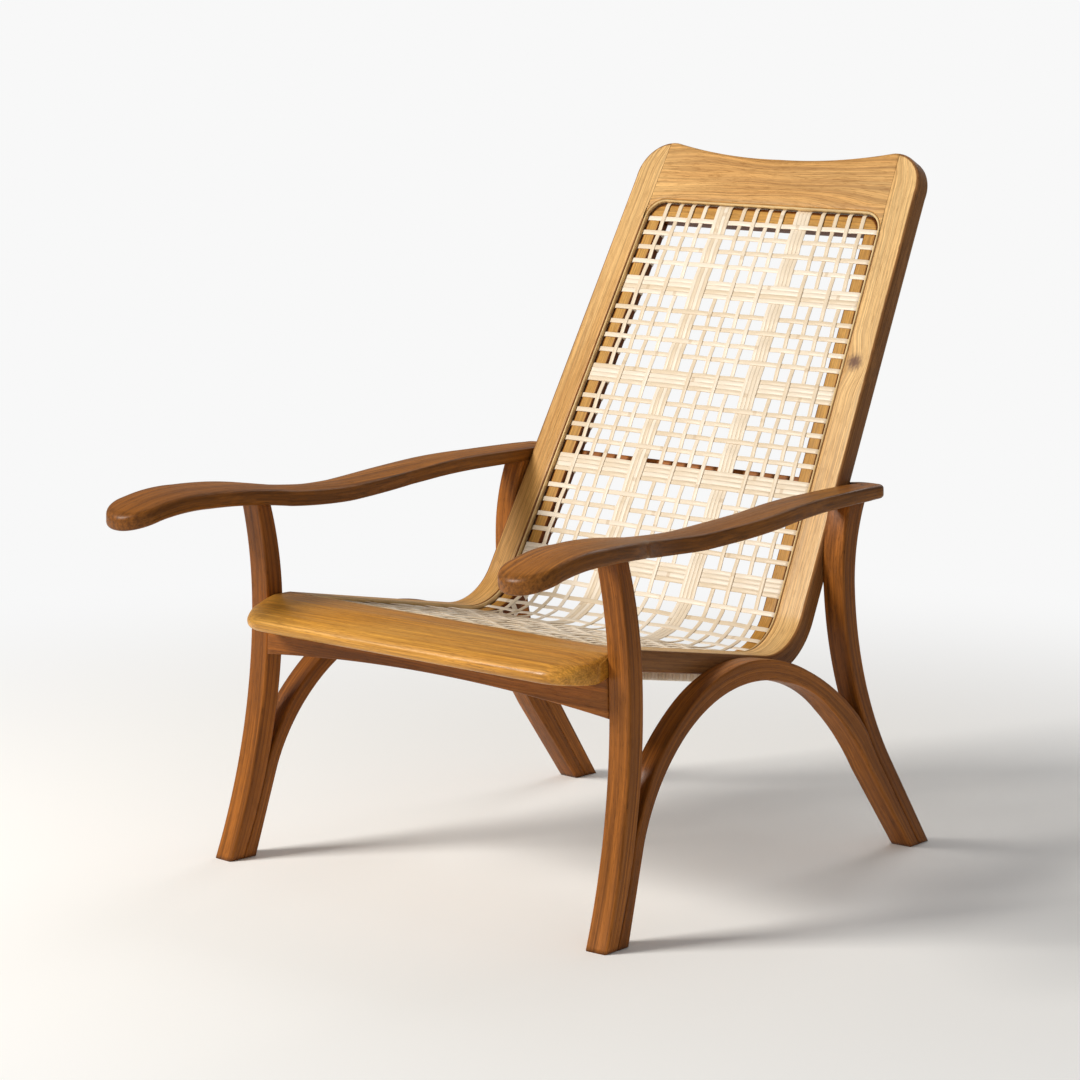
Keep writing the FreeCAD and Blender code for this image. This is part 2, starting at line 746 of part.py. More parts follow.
# Cross rail behind the back, let in over the side bars
cross_start = (far / 2, size("cross_rail_reach") - size("cross_rail_height") / 2)
cross_end = (far / 2, size("cross_rail_reach") + size("cross_rail_height") / 2)
cross_steps = [line_to(cross_end), line_to((-cross_end[0], cross_end[1])),
               line_to((-cross_start[0], cross_start[1])), line_to(cross_start)]
cross_blank = blank("cross_blank", "XY", cross_start, cross_steps, size("cross_rail_depth"),
                    back_frame(size("cross_rail_recess")), downwards=True)
side_bars = [bodies[f"{side_name}_weaving_bar"] for side_name in SIDES]
bodies["back_cross_rail"] = between_sides("cross_body", cross_blank, rail_inner, side_bars)

# Border bead: a thin strip that closes the gap round the opening
bead_top = size("bead_recess")
bead_bottom = bead_top + size("bead_depth")
bead_start, bead_side_steps = bench_outline(bead_top, bead_bottom, bar_front_y, bar_foot[1])
bead_band = blank("bead_band", "YZ", bead_start, bead_side_steps, far, CHAIR_FRAME)
bead_pieces = []
for side_name in SIDES:
    slab = side_slab(f"{side_name}_bead_slab", side_name, rail_inner, bead_inner)
    bead_pieces.append(common(f"{side_name}_bead", bead_band, slab))
lead, corner, foot = opening_corner(ZERO, rail_inner)
bead_middle = (ZERO, lead[1])
bead_half = [line_to(lead), arc_to(corner, foot), line_to(bar_foot), arc_to(bar_corner, bar_lead)]
bead_pieces.append(blank("top_bead", "XY", bead_middle, both_halves(bead_middle, bead_half),
                         size("bead_depth"), back_frame(bead_top), downwards=True))
front_bead = seat_strip("front_bead_blank", size("seat_front_y"), bar_front_y, bead_top, bead_bottom)
bead_pieces.append(between_sides("front_bead", front_bead, rail_inner))
bodies["border_bead"] = group("bead_group", bead_pieces)

# Pegs that hold the joints
dowel = size("dowel_diameter")
dowel_length = size("dowel_length")
pin = size("pin_diameter")
pin_length = size("pin_length")
spacing = size("dowel_spacing")
arm_joint_drop = size("arm_sway") / 4 + dowel_length / 6
front_arm_joint = (size("front_head_y") + 0.75 * size("front_head_depth"),
                   size("arm_height") - size("arm_front_depth") - arm_joint_drop)
rear_arm_joint = (size("rear_head_y") + 0.35 * size("rear_head_depth"),
                  size("arm_height") - size("arm_rear_depth") - arm_joint_drop)
board_middle_height = (board_top + board_bottom) / 2
leg_middle_y = size("front_knee_y") + size("front_knee_depth") / 2
leg_peg_out = -half_post - dowel_length / 12
apron_middle_height = (apron_end[1] + board_bottom) / 2
rail_middle = size("rail_depth") / 2
bar_pin_depth = size("bar_recess") + size("bar_depth") / 2
back_joint_reach = (size("arm_height") - size("arm_rear_depth") - size("back_joint_drop")) / cosine(rake)
gap_middle = rail_inner - size("bead_width") / 2

for side_name, side in SIDES.items():
    frame = SIDE_FRAMES[side_name]
    front_leg, rear_leg, arch, arm, rail, bar = (
        f"{side_name}_{piece}" for piece in ("front_leg", "rear_leg", "arch", "armrest", "side_rail", "weaving_bar"))
    for leg, (y, height) in ((front_leg, front_arm_joint), (rear_leg, rear_arm_joint)):
        peg("arm_dowels", frame, (ZERO, y, height), NO_TURN, size("arm_dowel_diameter"), dowel_length, (leg, arm))
    for way in (-1, 1):
        point = (side * leg_peg_out, leg_middle_y + way * size("front_knee_depth") / 4, board_middle_height)
        peg("board_dowels", frame, point, ALONG_X, dowel, dowel_length, (front_leg, "front_seat_rail"))
        point = (side * leg_peg_out, apron_middle_y, apron_middle_height + way * spacing / 2)
        peg("apron_dowels", frame, point, ALONG_X, dowel, dowel_length, (front_leg, "front_apron"))
        reach = back_joint_reach + way * spacing * 0.8
        point = (-side * half_post, *on_back(reach, rail_middle))
        peg("back_dowels", frame, point, ALONG_X, dowel, dowel_length, (rear_leg, rail))
        point = (side * (rail_inner + (1.5 + 0.75 * way) * dowel), size("seat_front_y"), board_middle_height)
        peg("rail_dowels", frame, point, ALONG_Y, dowel, dowel_length, ("front_seat_rail", rail))
        reach = opening_top_reach + size("crest_depth") * (0.4 + 0.17 * way)
        point = (side * rail_inner, *on_back(reach, rail_middle))
        peg("crest_dowels", frame, point, ALONG_X, dowel, dowel_length, ("crest_rail", rail))
    for share in ARCH_DOWEL_SHARES:
        point = (-side * half_post, *on_seat(share * stance_depth, 0.6 * size("rail_depth")))
        peg("arch_dowels", frame, point, ALONG_X, dowel, dowel_length, (arch, rail))
    point = (ZERO, *part_way(back_of_front_foot, bow(back_of_front_knee, back_of_front_foot), 0.76, 0.65))
    peg("arch_dowels", frame, point, ALONG_Y, dowel, pin_length, (arch, front_leg))
    point = (ZERO, *part_way(shin, rear_foot, 0.2, 0.2))
    peg("arch_dowels", frame, point, ALONG_Y, dowel, pin_length, (arch, rear_leg))
    for share in PIN_REACH_SHARES:
        point = (side * gap_middle, *on_back(share * opening_top_reach, bar_pin_depth))
        peg("weaving_frame_pins", frame, point, ALONG_X, pin, pin_length, (rail, bar))
    point = (side * gap_middle, *on_seat((bar_rear_y + seat_end[0]) / 2, bar_pin_depth))
    peg("weaving_frame_pins", frame, point, ALONG_X, pin, pin_length, (rail, bar))
    bar_middle_out = bead_inner - size("bar_width") / 2
    point = (side * half_width_up_back(bar_middle_out, size("cross_rail_reach")), size("cross_rail_reach"),
             -bar_bottom)
    peg("cross_rail_pins", BACK_FRAME, point, NO_TURN, pin, pin_length, ("back_cross_rail", bar))

point = (ZERO, opening_top_reach - size("bead_width") / 2, -bar_pin_depth)
peg("weaving_frame_pins", BACK_FRAME, point, ALONG_Y, pin, pin_length, ("crest_rail", "top_weaving_bar"))
point = (ZERO, *on_seat(size("seat_front_y") + size("bead_width") / 2, bar_pin_depth))
peg("weaving_frame_pins", CHAIR_FRAME, point, ALONG_Y, pin, pin_length, ("front_seat_rail", "front_weaving_bar"))

NODES = {}
for label, body in bodies.items():
    NODES[label] = cut(f"{label}_piece", body, pegs_in[label]) if label in pegs_in else body
for group_name, members in peg_groups.items():
    NODES[group_name] = group(f"{group_name}_group", members)

# Cane: flat layers, lengthwise warps over crosswise wefts, carried by the weaving frame
bend_radius = size("bend_radius").value
cane_thickness = size("cane_thickness").value
back_run = (opening_top_reach - bend_reach).value
bend_length = bend_radius * math.radians(2 * half_turn.value)
seat_run = (seat_end[0] - bar_front_y - size("bar_recess") * sine(fall)) / cosine(fall)
panel_end = back_run + bend_length + seat_run.value
far_value = far.value


def panel_point(run, depth):
    """A point of the side view at a run down the face from the top of the opening."""
    if run <= back_run:
        point = on_back(opening_top_reach - as_size(run), as_size(depth))
    elif run < back_run + bend_length:
        turn = SQUARE - fall + 2 * half_turn - math.degrees((run - back_run) / bend_radius)
        point = sunk(bend_centre, (cosine(turn), sine(turn)), as_size(bend_radius + depth))
    else:
        along = as_size(run - back_run - bend_length)
        start = (seat_end[0] - along * seat_along[0], seat_end[1] - along * seat_along[1])
        point = sunk(start, seat_up, as_size(depth))
    return FreeCAD.Vector(0, point[0].value, point[1].value)


def face_line(first, last, depth):
    """The line that follows the face between two runs, at one depth."""
    bounds = [run for run in (back_run, back_run + bend_length) if first < run < last]
    stops = [first] + bounds + [last]
    edges = []
    for here, there in zip(stops, stops[1:]):
        middle = (here + there) / 2
        ends = panel_point(here, depth), panel_point(there, depth)
        if back_run < middle < back_run + bend_length:
            edges.append(Part.Arc(ends[0], panel_point(middle, depth), ends[1]).toShape())
        else:
            edges.append(Part.LineSegment(*ends).toShape())
    return edges


def cane_strip(first, last, top):
    """A layer of cane between two runs, right across the chair."""
    bottom = top + cane_thickness
    edges = face_line(first, last, top) + face_line(first, last, bottom)
    edges.append(Part.LineSegment(panel_point(first, top), panel_point(first, bottom)).toShape())
    edges.append(Part.LineSegment(panel_point(last, top), panel_point(last, bottom)).toShape())
    face = Part.Face(Part.Wire(Part.__sortEdges__(edges)))
    strip = face.extrude(FreeCAD.Vector(far_value, 0, 0))
    strip.translate(FreeCAD.Vector(-far_value / 2, 0, 0))
    return strip


def fan_slab(share, low, high):
    """A block about the plane that lies at one share of the panel's half width all the way down."""
    level = half_width_at(bead_inner, ZERO, ZERO).value
    slope_y = level - half_width_at(bead_inner, as_size(1), ZERO).value
    slope_height = level - half_width_at(bead_inner, ZERO, as_size(1)).value
    normal = FreeCAD.Vector(1, share * slope_y, share * slope_height)
    slab = Part.makeBox(high - low, 2 * far_value, 2 * far_value, FreeCAD.Vector(low, -far_value, -far_value))
    slab.Placement = FreeCAD.Placement(FreeCAD.Vector(share * level, 0, 0),
                                       FreeCAD.Rotation(FreeCAD.Vector(1, 0, 0), normal))
    return slab


def weft_runs():
    """The middle of each crosswise strand and whether it is a wide one."""
    run = size("first_weft_run").value
    place_in_group = 0
    while run + half_wide < panel_end:
        is_wide = place_in_group == NARROW_STRANDS
        yield run, is_wide
        beside_wide = is_wide or place_in_group == NARROW_STRANDS - 1
        run += size("wide_weft_pitch" if beside_wide else "weft_pitch").value
        place_in_group = 0 if is_wide else place_in_group + 1


def warp_places():
    """Distances of the lengthwise strands from the middle, at the top, and whether each is wide."""
    place_out = size("warp_pitch").value / 2
    place_in_group = NARROW_STRANDS // 2
    while place_out + half_narrow < panel_half:
        is_wide = place_in_group == NARROW_STRANDS
        yield place_out, is_wide
        beside_wide = is_wide or place_in_group == NARROW_STRANDS - 1
        place_out += size("wide_warp_pitch" if beside_wide else "warp_pitch").value
        place_in_group = 0 if is_wide else place_in_group + 1


warp_level = size("bar_recess").value - 2 * cane_thickness
weft_level = size("bar_recess").value - cane_thickness
half_narrow = size("cane_width").value / 2
half_wide = size("wide_cane_width").value / 2
panel_top = size("bead_width").value
panel_half = half_width_up_back(bead_inner, opening_top_reach - size("bead_width")).value
inside_left = fan_slab(1, -far_value, 0)
inside_right = fan_slab(-1, 0, far_value)
cane = {"cane_back_wefts": [], "cane_bend_wefts": [], "cane_seat_wefts": [],
        "cane_narrow_warps": [], "cane_wide_warps": []}

for run, is_wide in weft_runs():
    half = half_wide if is_wide else half_narrow
    strip = cane_strip(run - half, run + half, weft_level).common(inside_left).common(inside_right)
    zone = "back" if run < back_run else "bend" if run < back_run + bend_length else "seat"
    cane[f"cane_{zone}_wefts"] += strip.Solids

warp_layer = cane_strip(panel_top, panel_end, warp_level)
for place_out, is_wide in warp_places():
    half = half_wide if is_wide else half_narrow
    for side in SIDES.values():
        strip = warp_layer.common(fan_slab(side * place_out / panel_half, -half, half))
        cane["cane_wide_warps" if is_wide else "cane_narrow_warps"] += strip.Solids

for label, strands in cane.items():
    feature = doc.addObject("Part::Feature", f"{label}_shape")
    feature.Shape = Part.makeCompound(strands)
    feature.Placement = FreeCAD.Placement(FreeCAD.Vector(0, size("front_foot_y").value, 0), FreeCAD.Rotation())
    NODES[label] = feature

# Every object is sound before anything is written
for label, piece in NODES.items():
    piece.Label = label
doc.recompute()
for item in doc.Objects:
    if "Invalid" in item.State or "Error" in item.State:
        raise RuntimeError(f"{item.Name} failed: {item.State}")
for label, piece in NODES.items():
    if piece.Shape.isNull() or not piece.Shape.isValid() or not piece.Shape.Solids:
        raise RuntimeError(f"{label} has no sound shape")
for label, piece in NODES.items():
    piece.Shape.exportStep(f"parts/{label}.step")
    print(f"{label}: {len(piece.Shape.Solids)} solids, {piece.Shape.Volume:.0f} cubic mm")
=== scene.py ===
import logging
import math
from dataclasses import dataclass
from enum import Enum
from typing import Callable, Optional

import bpy
import numpy as np
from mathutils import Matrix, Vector


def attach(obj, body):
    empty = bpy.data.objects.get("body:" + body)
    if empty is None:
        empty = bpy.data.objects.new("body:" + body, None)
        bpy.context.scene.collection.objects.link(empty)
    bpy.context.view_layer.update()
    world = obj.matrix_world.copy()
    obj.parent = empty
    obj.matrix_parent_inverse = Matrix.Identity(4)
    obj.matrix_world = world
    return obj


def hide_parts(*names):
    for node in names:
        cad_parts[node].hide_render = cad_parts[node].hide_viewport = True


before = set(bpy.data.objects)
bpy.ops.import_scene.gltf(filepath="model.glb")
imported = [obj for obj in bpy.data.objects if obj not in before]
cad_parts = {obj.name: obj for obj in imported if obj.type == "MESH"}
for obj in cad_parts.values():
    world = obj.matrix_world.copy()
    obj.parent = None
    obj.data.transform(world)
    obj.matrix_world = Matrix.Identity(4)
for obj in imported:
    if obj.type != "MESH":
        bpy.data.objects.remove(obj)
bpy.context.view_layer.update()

# Planters chair, dressed. Lengths in the classes are millimetres where they don't say metres, angles
# are degrees, and the meshes are put into the model in metres. +Z is up, the chair faces -Y, and X
# runs across it. Distances called y are behind the front edge of the front feet.

Points = np.ndarray
Placing = Callable[[Points, Points, Points], Points]
Colour = tuple[int, int, int]

MM = 0.001
# Where an outline's two edges count as running on straight, and as doubling back, by their normals' product
STRAIGHT_PRODUCT = 0.97
HAIRPIN_PRODUCT = -0.85
HAIRPIN_SQUARE = 0.72
# How far a piece's shift along the grain also moves it across and into the wood
SHIFT_ACROSS = 0.37
SHIFT_INTO = 0.11
# How far apart two strands' fibres are cut, along and into the cane, from the palest to the darkest
STRAND_SHIFT_ALONG = 9000.0
STRAND_SHIFT_INTO = 70.0
# Share of the way across that an upright bow has moved at half its height
BOW_SHARE = 0.24
KNOT_BROWN = (84, 40, 30)
# Dark brown that the timber turns towards in its lowest millimetres
FOOT_BROWN = (52, 32, 18)
SHADES = ("Pale", "Ground", "Dark")
LOG = logging.getLogger("planters_chair")


def turned(angle: float) -> tuple[float, float]:
    """The cosine and the sine of an angle in degrees."""
    return math.cos(math.radians(angle)), math.sin(math.radians(angle))


def smooth_step(share: Points) -> Points:
    """Ease from 0 to 1: three times the share squared less twice its cube, held beyond both ends."""
    held = np.clip(share, 0.0, 1.0)
    return held * held * (3.0 - 2.0 * held)


# Lines and outlines in a plane
def arc(first: tuple, via: tuple, last: tuple, count: int = 24) -> Points:
    """Points of the arc through three points.

    The centre is equally far from all three, and the turn runs evenly from the first to the last by
    way of the middle one.

    Args:
        first: where the arc starts.
        via: a point on it.
        last: where it ends.
        count: how many points to give.

    Returns:
        The points, one row each.
    """
    corners = np.array([first, via, last], float)
    (ax, ay), (bx, by), (cx, cy) = corners
    squares = (corners ** 2).sum(axis=1)
    twice = 2.0 * (ax * (by - cy) + bx * (cy - ay) + cx * (ay - by))
    if abs(twice) < 1e-6:
        return corners[0] + (corners[2] - corners[0]) * np.linspace(0.0, 1.0, count)[:, None]
    centre = np.array([
        squares @ np.array([by - cy, cy - ay, ay - by]),
        squares @ np.array([cx - bx, ax - cx, bx - ax]),
    ]) / twice
    spokes = corners - centre
    turns = np.unwrap(np.arctan2(spokes[:, 1], spokes[:, 0]))
    turn = np.linspace(turns[0], turns[2], count)
    return centre + np.hypot(*spokes[0]) * np.column_stack([np.cos(turn), np.sin(turn)])


def arcs_through(points: list) -> Points:
    """Arcs through a run of points, each second one lying on the arc between its neighbours."""
    runs = [arc(*points[i:i + 3]) for i in range(0, len(points) - 2, 2)]
    return np.vstack([runs[0]] + [run[1:] for run in runs[1:]])


def joined(*lines: Points) -> Points:
    """Lines one after the other, without points that fall together."""
    line = np.vstack([np.asarray(part, float) for part in lines])
    step = np.hypot(*np.diff(line, axis=0).T)
    return line[np.append(True, step > 1e-6)]


def lengths(line: Points) -> Points:
    """How far along a line each of its points is."""
    return np.append(0.0, np.cumsum(np.linalg.norm(np.diff(line, axis=0), axis=1)))


def spread(line: Points, count: int, first: float = 0.0, last: Optional[float] = None) -> Points:
    """Points spread evenly along a line, from one distance along it to another.

    Args:
        line: the line's points.
        count: how many points to give.
        first: the distance of the first one.
        last: the distance of the last one, or None for the line's end.

    Returns:
        The new points, one row each.
    """
    reach = lengths(line)
    stops = np.linspace(first, reach[-1] if last is None else last, count)
    return np.column_stack([np.interp(stops, reach, line[:, axis]) for axis in (0, 1)])


def at_levels(line: Points, levels: Points) -> Points:
    """The points of a line that rises all the way, at the levels given."""
    return np.column_stack([np.interp(levels, line[:, 1], line[:, 0]), levels])


def part_way(first: tuple, last: tuple, across: float, up: float) -> tuple[float, float]:
    """A point between two others, by its share of the way across and its share of the way up."""
    return first[0] + (last[0] - first[0]) * across, first[1] + (last[1] - first[1]) * up


def bow_through(foot: tuple, knee: tuple, head: tuple) -> Points:
    """Two arcs that meet upright at a knee: one from the foot, and one on to the head."""
    return joined(arc(foot, part_way(knee, foot, BOW_SHARE, 0.5), knee),
                  arc(knee, part_way(knee, head, BOW_SHARE, 0.5), head))


def level_line(first: float, last: float, level: float, count: int) -> Points:
    """Points spread evenly from one place across to another, all at one level."""
    return np.column_stack([np.linspace(first, last, count), np.full(count, level)])


def upright_line(across: float, levels: Points) -> Points:
    """Points one above the other at one place across."""
    return np.column_stack([np.full(len(levels), across), levels])


def quarter_round(foot: float, level: float, radius: float, count: int) -> Points:
    """A quarter circle that leaves its foot upright and turns in towards the chair's middle."""
    turn = np.linspace(0.0, math.pi / 2.0, count)
    return np.column_stack([foot - radius + radius * np.cos(turn), level + radius * np.sin(turn)])


def both_halves(half: Points) -> Points:
    """A line that runs in to the chair's middle, and on as its own mirror image."""
    return np.vstack([half, half[-2::-1] * np.array([-1.0, 1.0])])


def unit(vectors: Points) -> Points:
    """The same directions, each with a length of 1."""
    return vectors / np.linalg.norm(vectors, axis=1)[:, None]


def drawn_in(loop: Points, inset: Points) -> Points:
    """A closed outline moved inwards, each edge by its own amount.

    A point moves so that its distance from both of its edges is right: along the two normals, each by
    that edge's inset less their product times the other's, over one less the product squared. Where
    the edges run on nearly straight, it moves along both by half of the mean, and where they double
    back, the product squared counts as 0.72 at most, so that the point stays near.

    Args:
        loop: the outline's points, in order.
        inset: how far the edge after each point moves.

    Returns:
        The new outline.
    """
    ahead = unit(np.roll(loop, -1, axis=0) - loop)
    area = (loop[:, 0] * np.roll(loop[:, 1], -1) - loop[:, 1] * np.roll(loop[:, 0], -1)).sum()
    after = (1.0 if area > 0 else -1.0) * np.column_stack([-ahead[:, 1], ahead[:, 0]])
    before = np.roll(after, 1, axis=0)
    inset_before = np.roll(inset, 1)
    product = (after * before).sum(axis=1)
    straight = product > STRAIGHT_PRODUCT
    square = np.where(product < HAIRPIN_PRODUCT, 1.0 - HAIRPIN_SQUARE, 1.0 - product ** 2)
    square = np.where(straight, 1.0, square)
    mean = (inset + inset_before) / 2.0 / (1.0 + product)
    along_after = np.where(straight, mean, (inset - product * inset_before) / square)
    along_before = np.where(straight, mean, (inset_before - product * inset) / square)
    return loop + after * along_after[:, None] + before * along_before[:, None]


# Meshes
def walls_between(number: Points) -> Points:
    """Faces from each closed ring of point numbers to the next one."""
    after = np.roll(number, -1, axis=1)
    return np.stack([number[:-1], after[:-1], after[1:], number[1:]], axis=-1).reshape(-1, 4)


@dataclass
class Shape:
    """A mesh before it is placed: where its points are, its faces, and its wood or fibre coordinates.

    Attributes:
        points: three numbers a point, in the piece's own directions.
        faces: four corners a face.
        grain: distance along, across and into the wood or fibre, for each point.
        edge: 1 on a rounded edge, 0 on a face; the timber finish darkens it as painted shade.
        strand: a number from 0 to 1 that tells strands apart.
    """

    points: Points
    faces: Points
    grain: Points
    edge: Points
    strand: Points

    def placed(self, placing: Placing) -> "Shape":
        """The same shape carried by a placing into the chair, in metres, with its faces outwards."""
        points = placing(*self.points.T) * MM
        corners = points[self.faces]
        volume = (np.cross(corners[:, 0], corners[:, 1]) * corners[:, 2]).sum()
        volume += (np.cross(corners[:, 0], corners[:, 2]) * corners[:, 3]).sum()
        faces = self.faces if volume > 0 else self.faces[:, ::-1]
        return Shape(points, faces, self.grain, self.edge, self.strand)


def together(shapes: list[Shape]) -> Shape:
    """Several shapes as one."""
    starts = np.append(0, np.cumsum([len(shape.points) for shape in shapes]))
    return Shape(
        np.vstack([shape.points for shape in shapes]),
        np.vstack([shape.faces + start for shape, start in zip(shapes, starts)]),
        np.vstack([shape.grain for shape in shapes]),
        np.concatenate([shape.edge for shape in shapes]),
        np.concatenate([shape.strand for shape in shapes]),
    )


@dataclass
class Slab:
    """A piece sawn from a board or bent from a bar, with rounded edges.

    Stations run from one end to the other, each joining a point of the left edge to one of the right.
    The outline round all stations is carried through the thickness. At both faces it is drawn in along
    a quarter circle, and a grid between the two edges closes the face.

    Attributes:
        left: one long edge in the plane, a point for each station.
        right: the other long edge.
        low: the lower face's place through the thickness.
        high: the upper face's.
        rounding: radius of the edges, one number or one for each point of the outline.
        start: inner points of the first end, from left to right, or None for a straight end.
        end: the same for the last end.
        across: how many inner points a station has.
        crown: how far the middle of the upper face stands up, one number or one for each station.
        bent: whether the grain follows the stations instead of running straight.
        lay: turn of straight grain in the plane, in degrees.
        steps: faces in each rounded edge.
    """

    left: Points
    right: Points
    low: float
    high: float
    rounding: float | Points = 3.0
    start: Optional[Points] = None
    end: Optional[Points] = None
    across: int = 5
    crown: float | Points = 0.0
    bent: bool = False
    lay: float = 0.0
    steps: int = 5

    def loop(self) -> Points:
        """The outline round all stations, without repeats."""
        share = np.linspace(0.0, 1.0, self.across + 2)[1:-1, None]
        start = self.start
        if start is None:
            start = self.left[0] + (self.right[0] - self.left[0]) * share
        end = self.end
        if end is None:
            end = self.left[-1] + (self.right[-1] - self.left[-1]) * share
        return np.vstack([self.left, end, self.right[::-1], start[::-1]])

    def radii(self, left: float, end: float, right: float, start: float) -> Points:
        """A radius for each point of the outline, from one for each side; corners take the smaller."""
        count = len(self.left)
        radius = np.repeat([left, end, right, start], [count, self.across, count, self.across])
        corners = ((0, left, start), (count - 1, left, end), (count + self.across, right, end),
                   (2 * count + self.across - 1, right, start))
        for place, *sides in corners:
            radius[place] = min(sides)
        return radius

    def cap(self, loop: Points) -> Points:
        """The grid of points that closes a face inside an outline."""
        count = len(self.left)
        share = np.linspace(0.0, 1.0, self.across + 2)[None, :, None]
        left = loop[:count, None]
        right = loop[count + self.across:2 * count + self.across][::-1, None]
        grid = left + (right - left) * share
        grid[-1, 1:-1] = loop[count:count + self.across]
        grid[0, 1:-1] = loop[2 * count + self.across:][::-1]
        return grid.reshape(-1, 2)

    def shape(self, shift: float = 0.0) -> Shape:
        """The slab's mesh in its own plane and thickness.

        Args:
            shift: how far along the grain this piece was cut, so that no two pieces look alike.

        Returns:
            The shape, with the plane in its first two directions and the thickness in the third.
        """
        loop = self.loop()
        columns = self.across + 2
        size = len(self.left) * columns
        number = np.arange(size).reshape(-1, columns)
        border = np.concatenate([number[:, 0], number[-1, 1:-1], number[::-1, -1], number[0, -2:0:-1]])
        radius = np.broadcast_to(np.asarray(self.rounding, float), (len(loop),))
        radius = np.maximum(radius, np.roll(radius, -1))
        deepest = np.maximum(radius, np.roll(radius, 1))
        angle = np.linspace(0.0, math.pi / 2.0, self.steps + 1)
        drop = [deepest * (1.0 - math.cos(turn)) for turn in angle]
        inset = [radius * (1.0 - math.sin(turn)) for turn in angle]
        rings = [(drawn_in(loop, step), self.high - down) for step, down in zip(inset, drop)]
        rings += [(drawn_in(loop, step), self.low + down) for step, down in zip(inset[::-1], drop[::-1])]

        share = np.tile(np.linspace(0.0, 1.0, columns), len(self.left))
        top = np.column_stack([self.cap(rings[0][0]), np.full(size, self.high)])
        crown = np.repeat(np.broadcast_to(self.crown, (len(self.left),)), columns)
        top[:, 2] += crown * (1.0 - (2.0 * share - 1.0) ** 2)
        bottom = np.column_stack([self.cap(rings[-1][0]), np.full(size, self.low)])
        middle = [np.column_stack(ring) for ring in rings[1:-1]]
        points = np.vstack([top] + middle + [bottom])

        corners = [number[:-1, :-1], number[1:, :-1], number[1:, 1:], number[:-1, 1:]]
        cell = np.stack(corners, axis=-1).reshape(-1, 4)
        under = size + len(middle) * len(loop)
        levels = [border] + [size + k * len(loop) + np.arange(len(loop)) for k in range(len(middle))]
        levels.append(under + border)
        walls = [np.stack([np.roll(up, -1), up, down, np.roll(down, -1)], axis=-1)
                 for up, down in zip(levels, levels[1:])]
        faces = np.vstack([cell] + walls + [under + cell[:, ::-1]])

        # Mask for the edges' painted shade and smoother finish: 1 round the sides, 0.6 at a face's border
        edge = np.zeros(len(points))
        edge[size:under] = 1.0
        edge[border] = 0.6
        grain = self.grain(points, number, border, len(middle), shift)
        return Shape(points, faces, grain, edge, np.zeros(len(points)))

    def grain(self, points: Points, number: Points, border: Points, rings: int, shift: float) -> Points:
        """Distances along, across and into the wood.

        Args:
            points: the mesh's points.
            number: the grid of point numbers of a face.
            border: numbers of the points round a face.
            rings: how many outlines lie between the faces.
            shift: added along the grain.

        Returns:
            Three distances for each point.
        """
        if self.bent:
            columns = number.shape[1]
            order = np.concatenate([number.ravel()] + [border] * rings + [number.ravel()])
            width = np.linalg.norm(self.right - self.left, axis=1)
            along = np.repeat(lengths((self.left + self.right) / 2.0), columns)[order]
            across = (width[:, None] * np.linspace(-0.5, 0.5, columns)[None, :]).ravel()[order]
        else:
            cosine, sine = turned(self.lay)
            along = points[:, 0] * cosine + points[:, 1] * sine
            across = points[:, 1] * cosine - points[:, 0] * sine
        into = points[:, 2] + shift * SHIFT_INTO
        return np.column_stack([along + shift, across + shift * SHIFT_ACROSS, into])


# Section of a strand of cane, round from its left edge over the top: across in half widths, up in
# thicknesses
STRAND_SECTION = np.array([
    (-1.0, 0.4), (-0.97, 0.82), (-0.84, 1.0), (0.84, 1.0), (0.97, 0.82),
    (1.0, 0.4), (0.92, 0.05), (0.5, 0.0), (-0.5, 0.0), (-0.92, 0.05),
])


def strand_shape(line: Points, across: Points, up: Points, width: float, thick: float, tint: float) -> Shape:
    """A strand of cane, its flattened section carried along a line.

    A point is the line's point, plus half the width times the section's first number along the
    across direction, plus the thickness times its second one along the up direction.

    Args:
        line: the middle of the strand's underside.
        across: direction across the strand, at each point of the line.
        up: direction out of it.
        width: full width.
        thick: full thickness.
        tint: a number from 0 to 1 for this strand's own shade.

    Returns:
        The closed strand.
    """
    count = len(line)
    sides = len(STRAND_SECTION)
    sideways = STRAND_SECTION[None, :, 0, None] * across[:, None, :] * width / 2.0
    upwards = STRAND_SECTION[None, :, 1, None] * up[:, None, :] * thick
    points = (line[:, None, :] + sideways + upwards).reshape(-1, 3)
    number = np.arange(count * sides).reshape(count, sides)
    ends = np.array([(0, 1, 8, 9), (1, 2, 7, 8), (2, 3, 6, 7), (3, 4, 5, 6)])
    faces = np.vstack([walls_between(number), ends[:, ::-1], ends + (count - 1) * sides])
    grain = np.column_stack([
        np.repeat(lengths(line), sides) + tint * STRAND_SHIFT_ALONG,
        np.tile(STRAND_SECTION[:, 0], count) * width / 2.0,
        np.full(len(points), tint * STRAND_SHIFT_INTO),
    ])
    return Shape(points, faces, grain, np.zeros(len(points)), np.full(len(points), tint))


# Finishes
def linear(colour: Colour) -> tuple[float, float, float, float]:
    """A colour of 0 to 255 a channel as the shader takes it, by the usual screen curve."""
    shares = [channel / 255.0 for channel in colour]
    return tuple(s / 12.92 if s <= 0.04045 else ((s + 0.055) / 1.055) ** 2.4 for s in shares) + (1.0,)


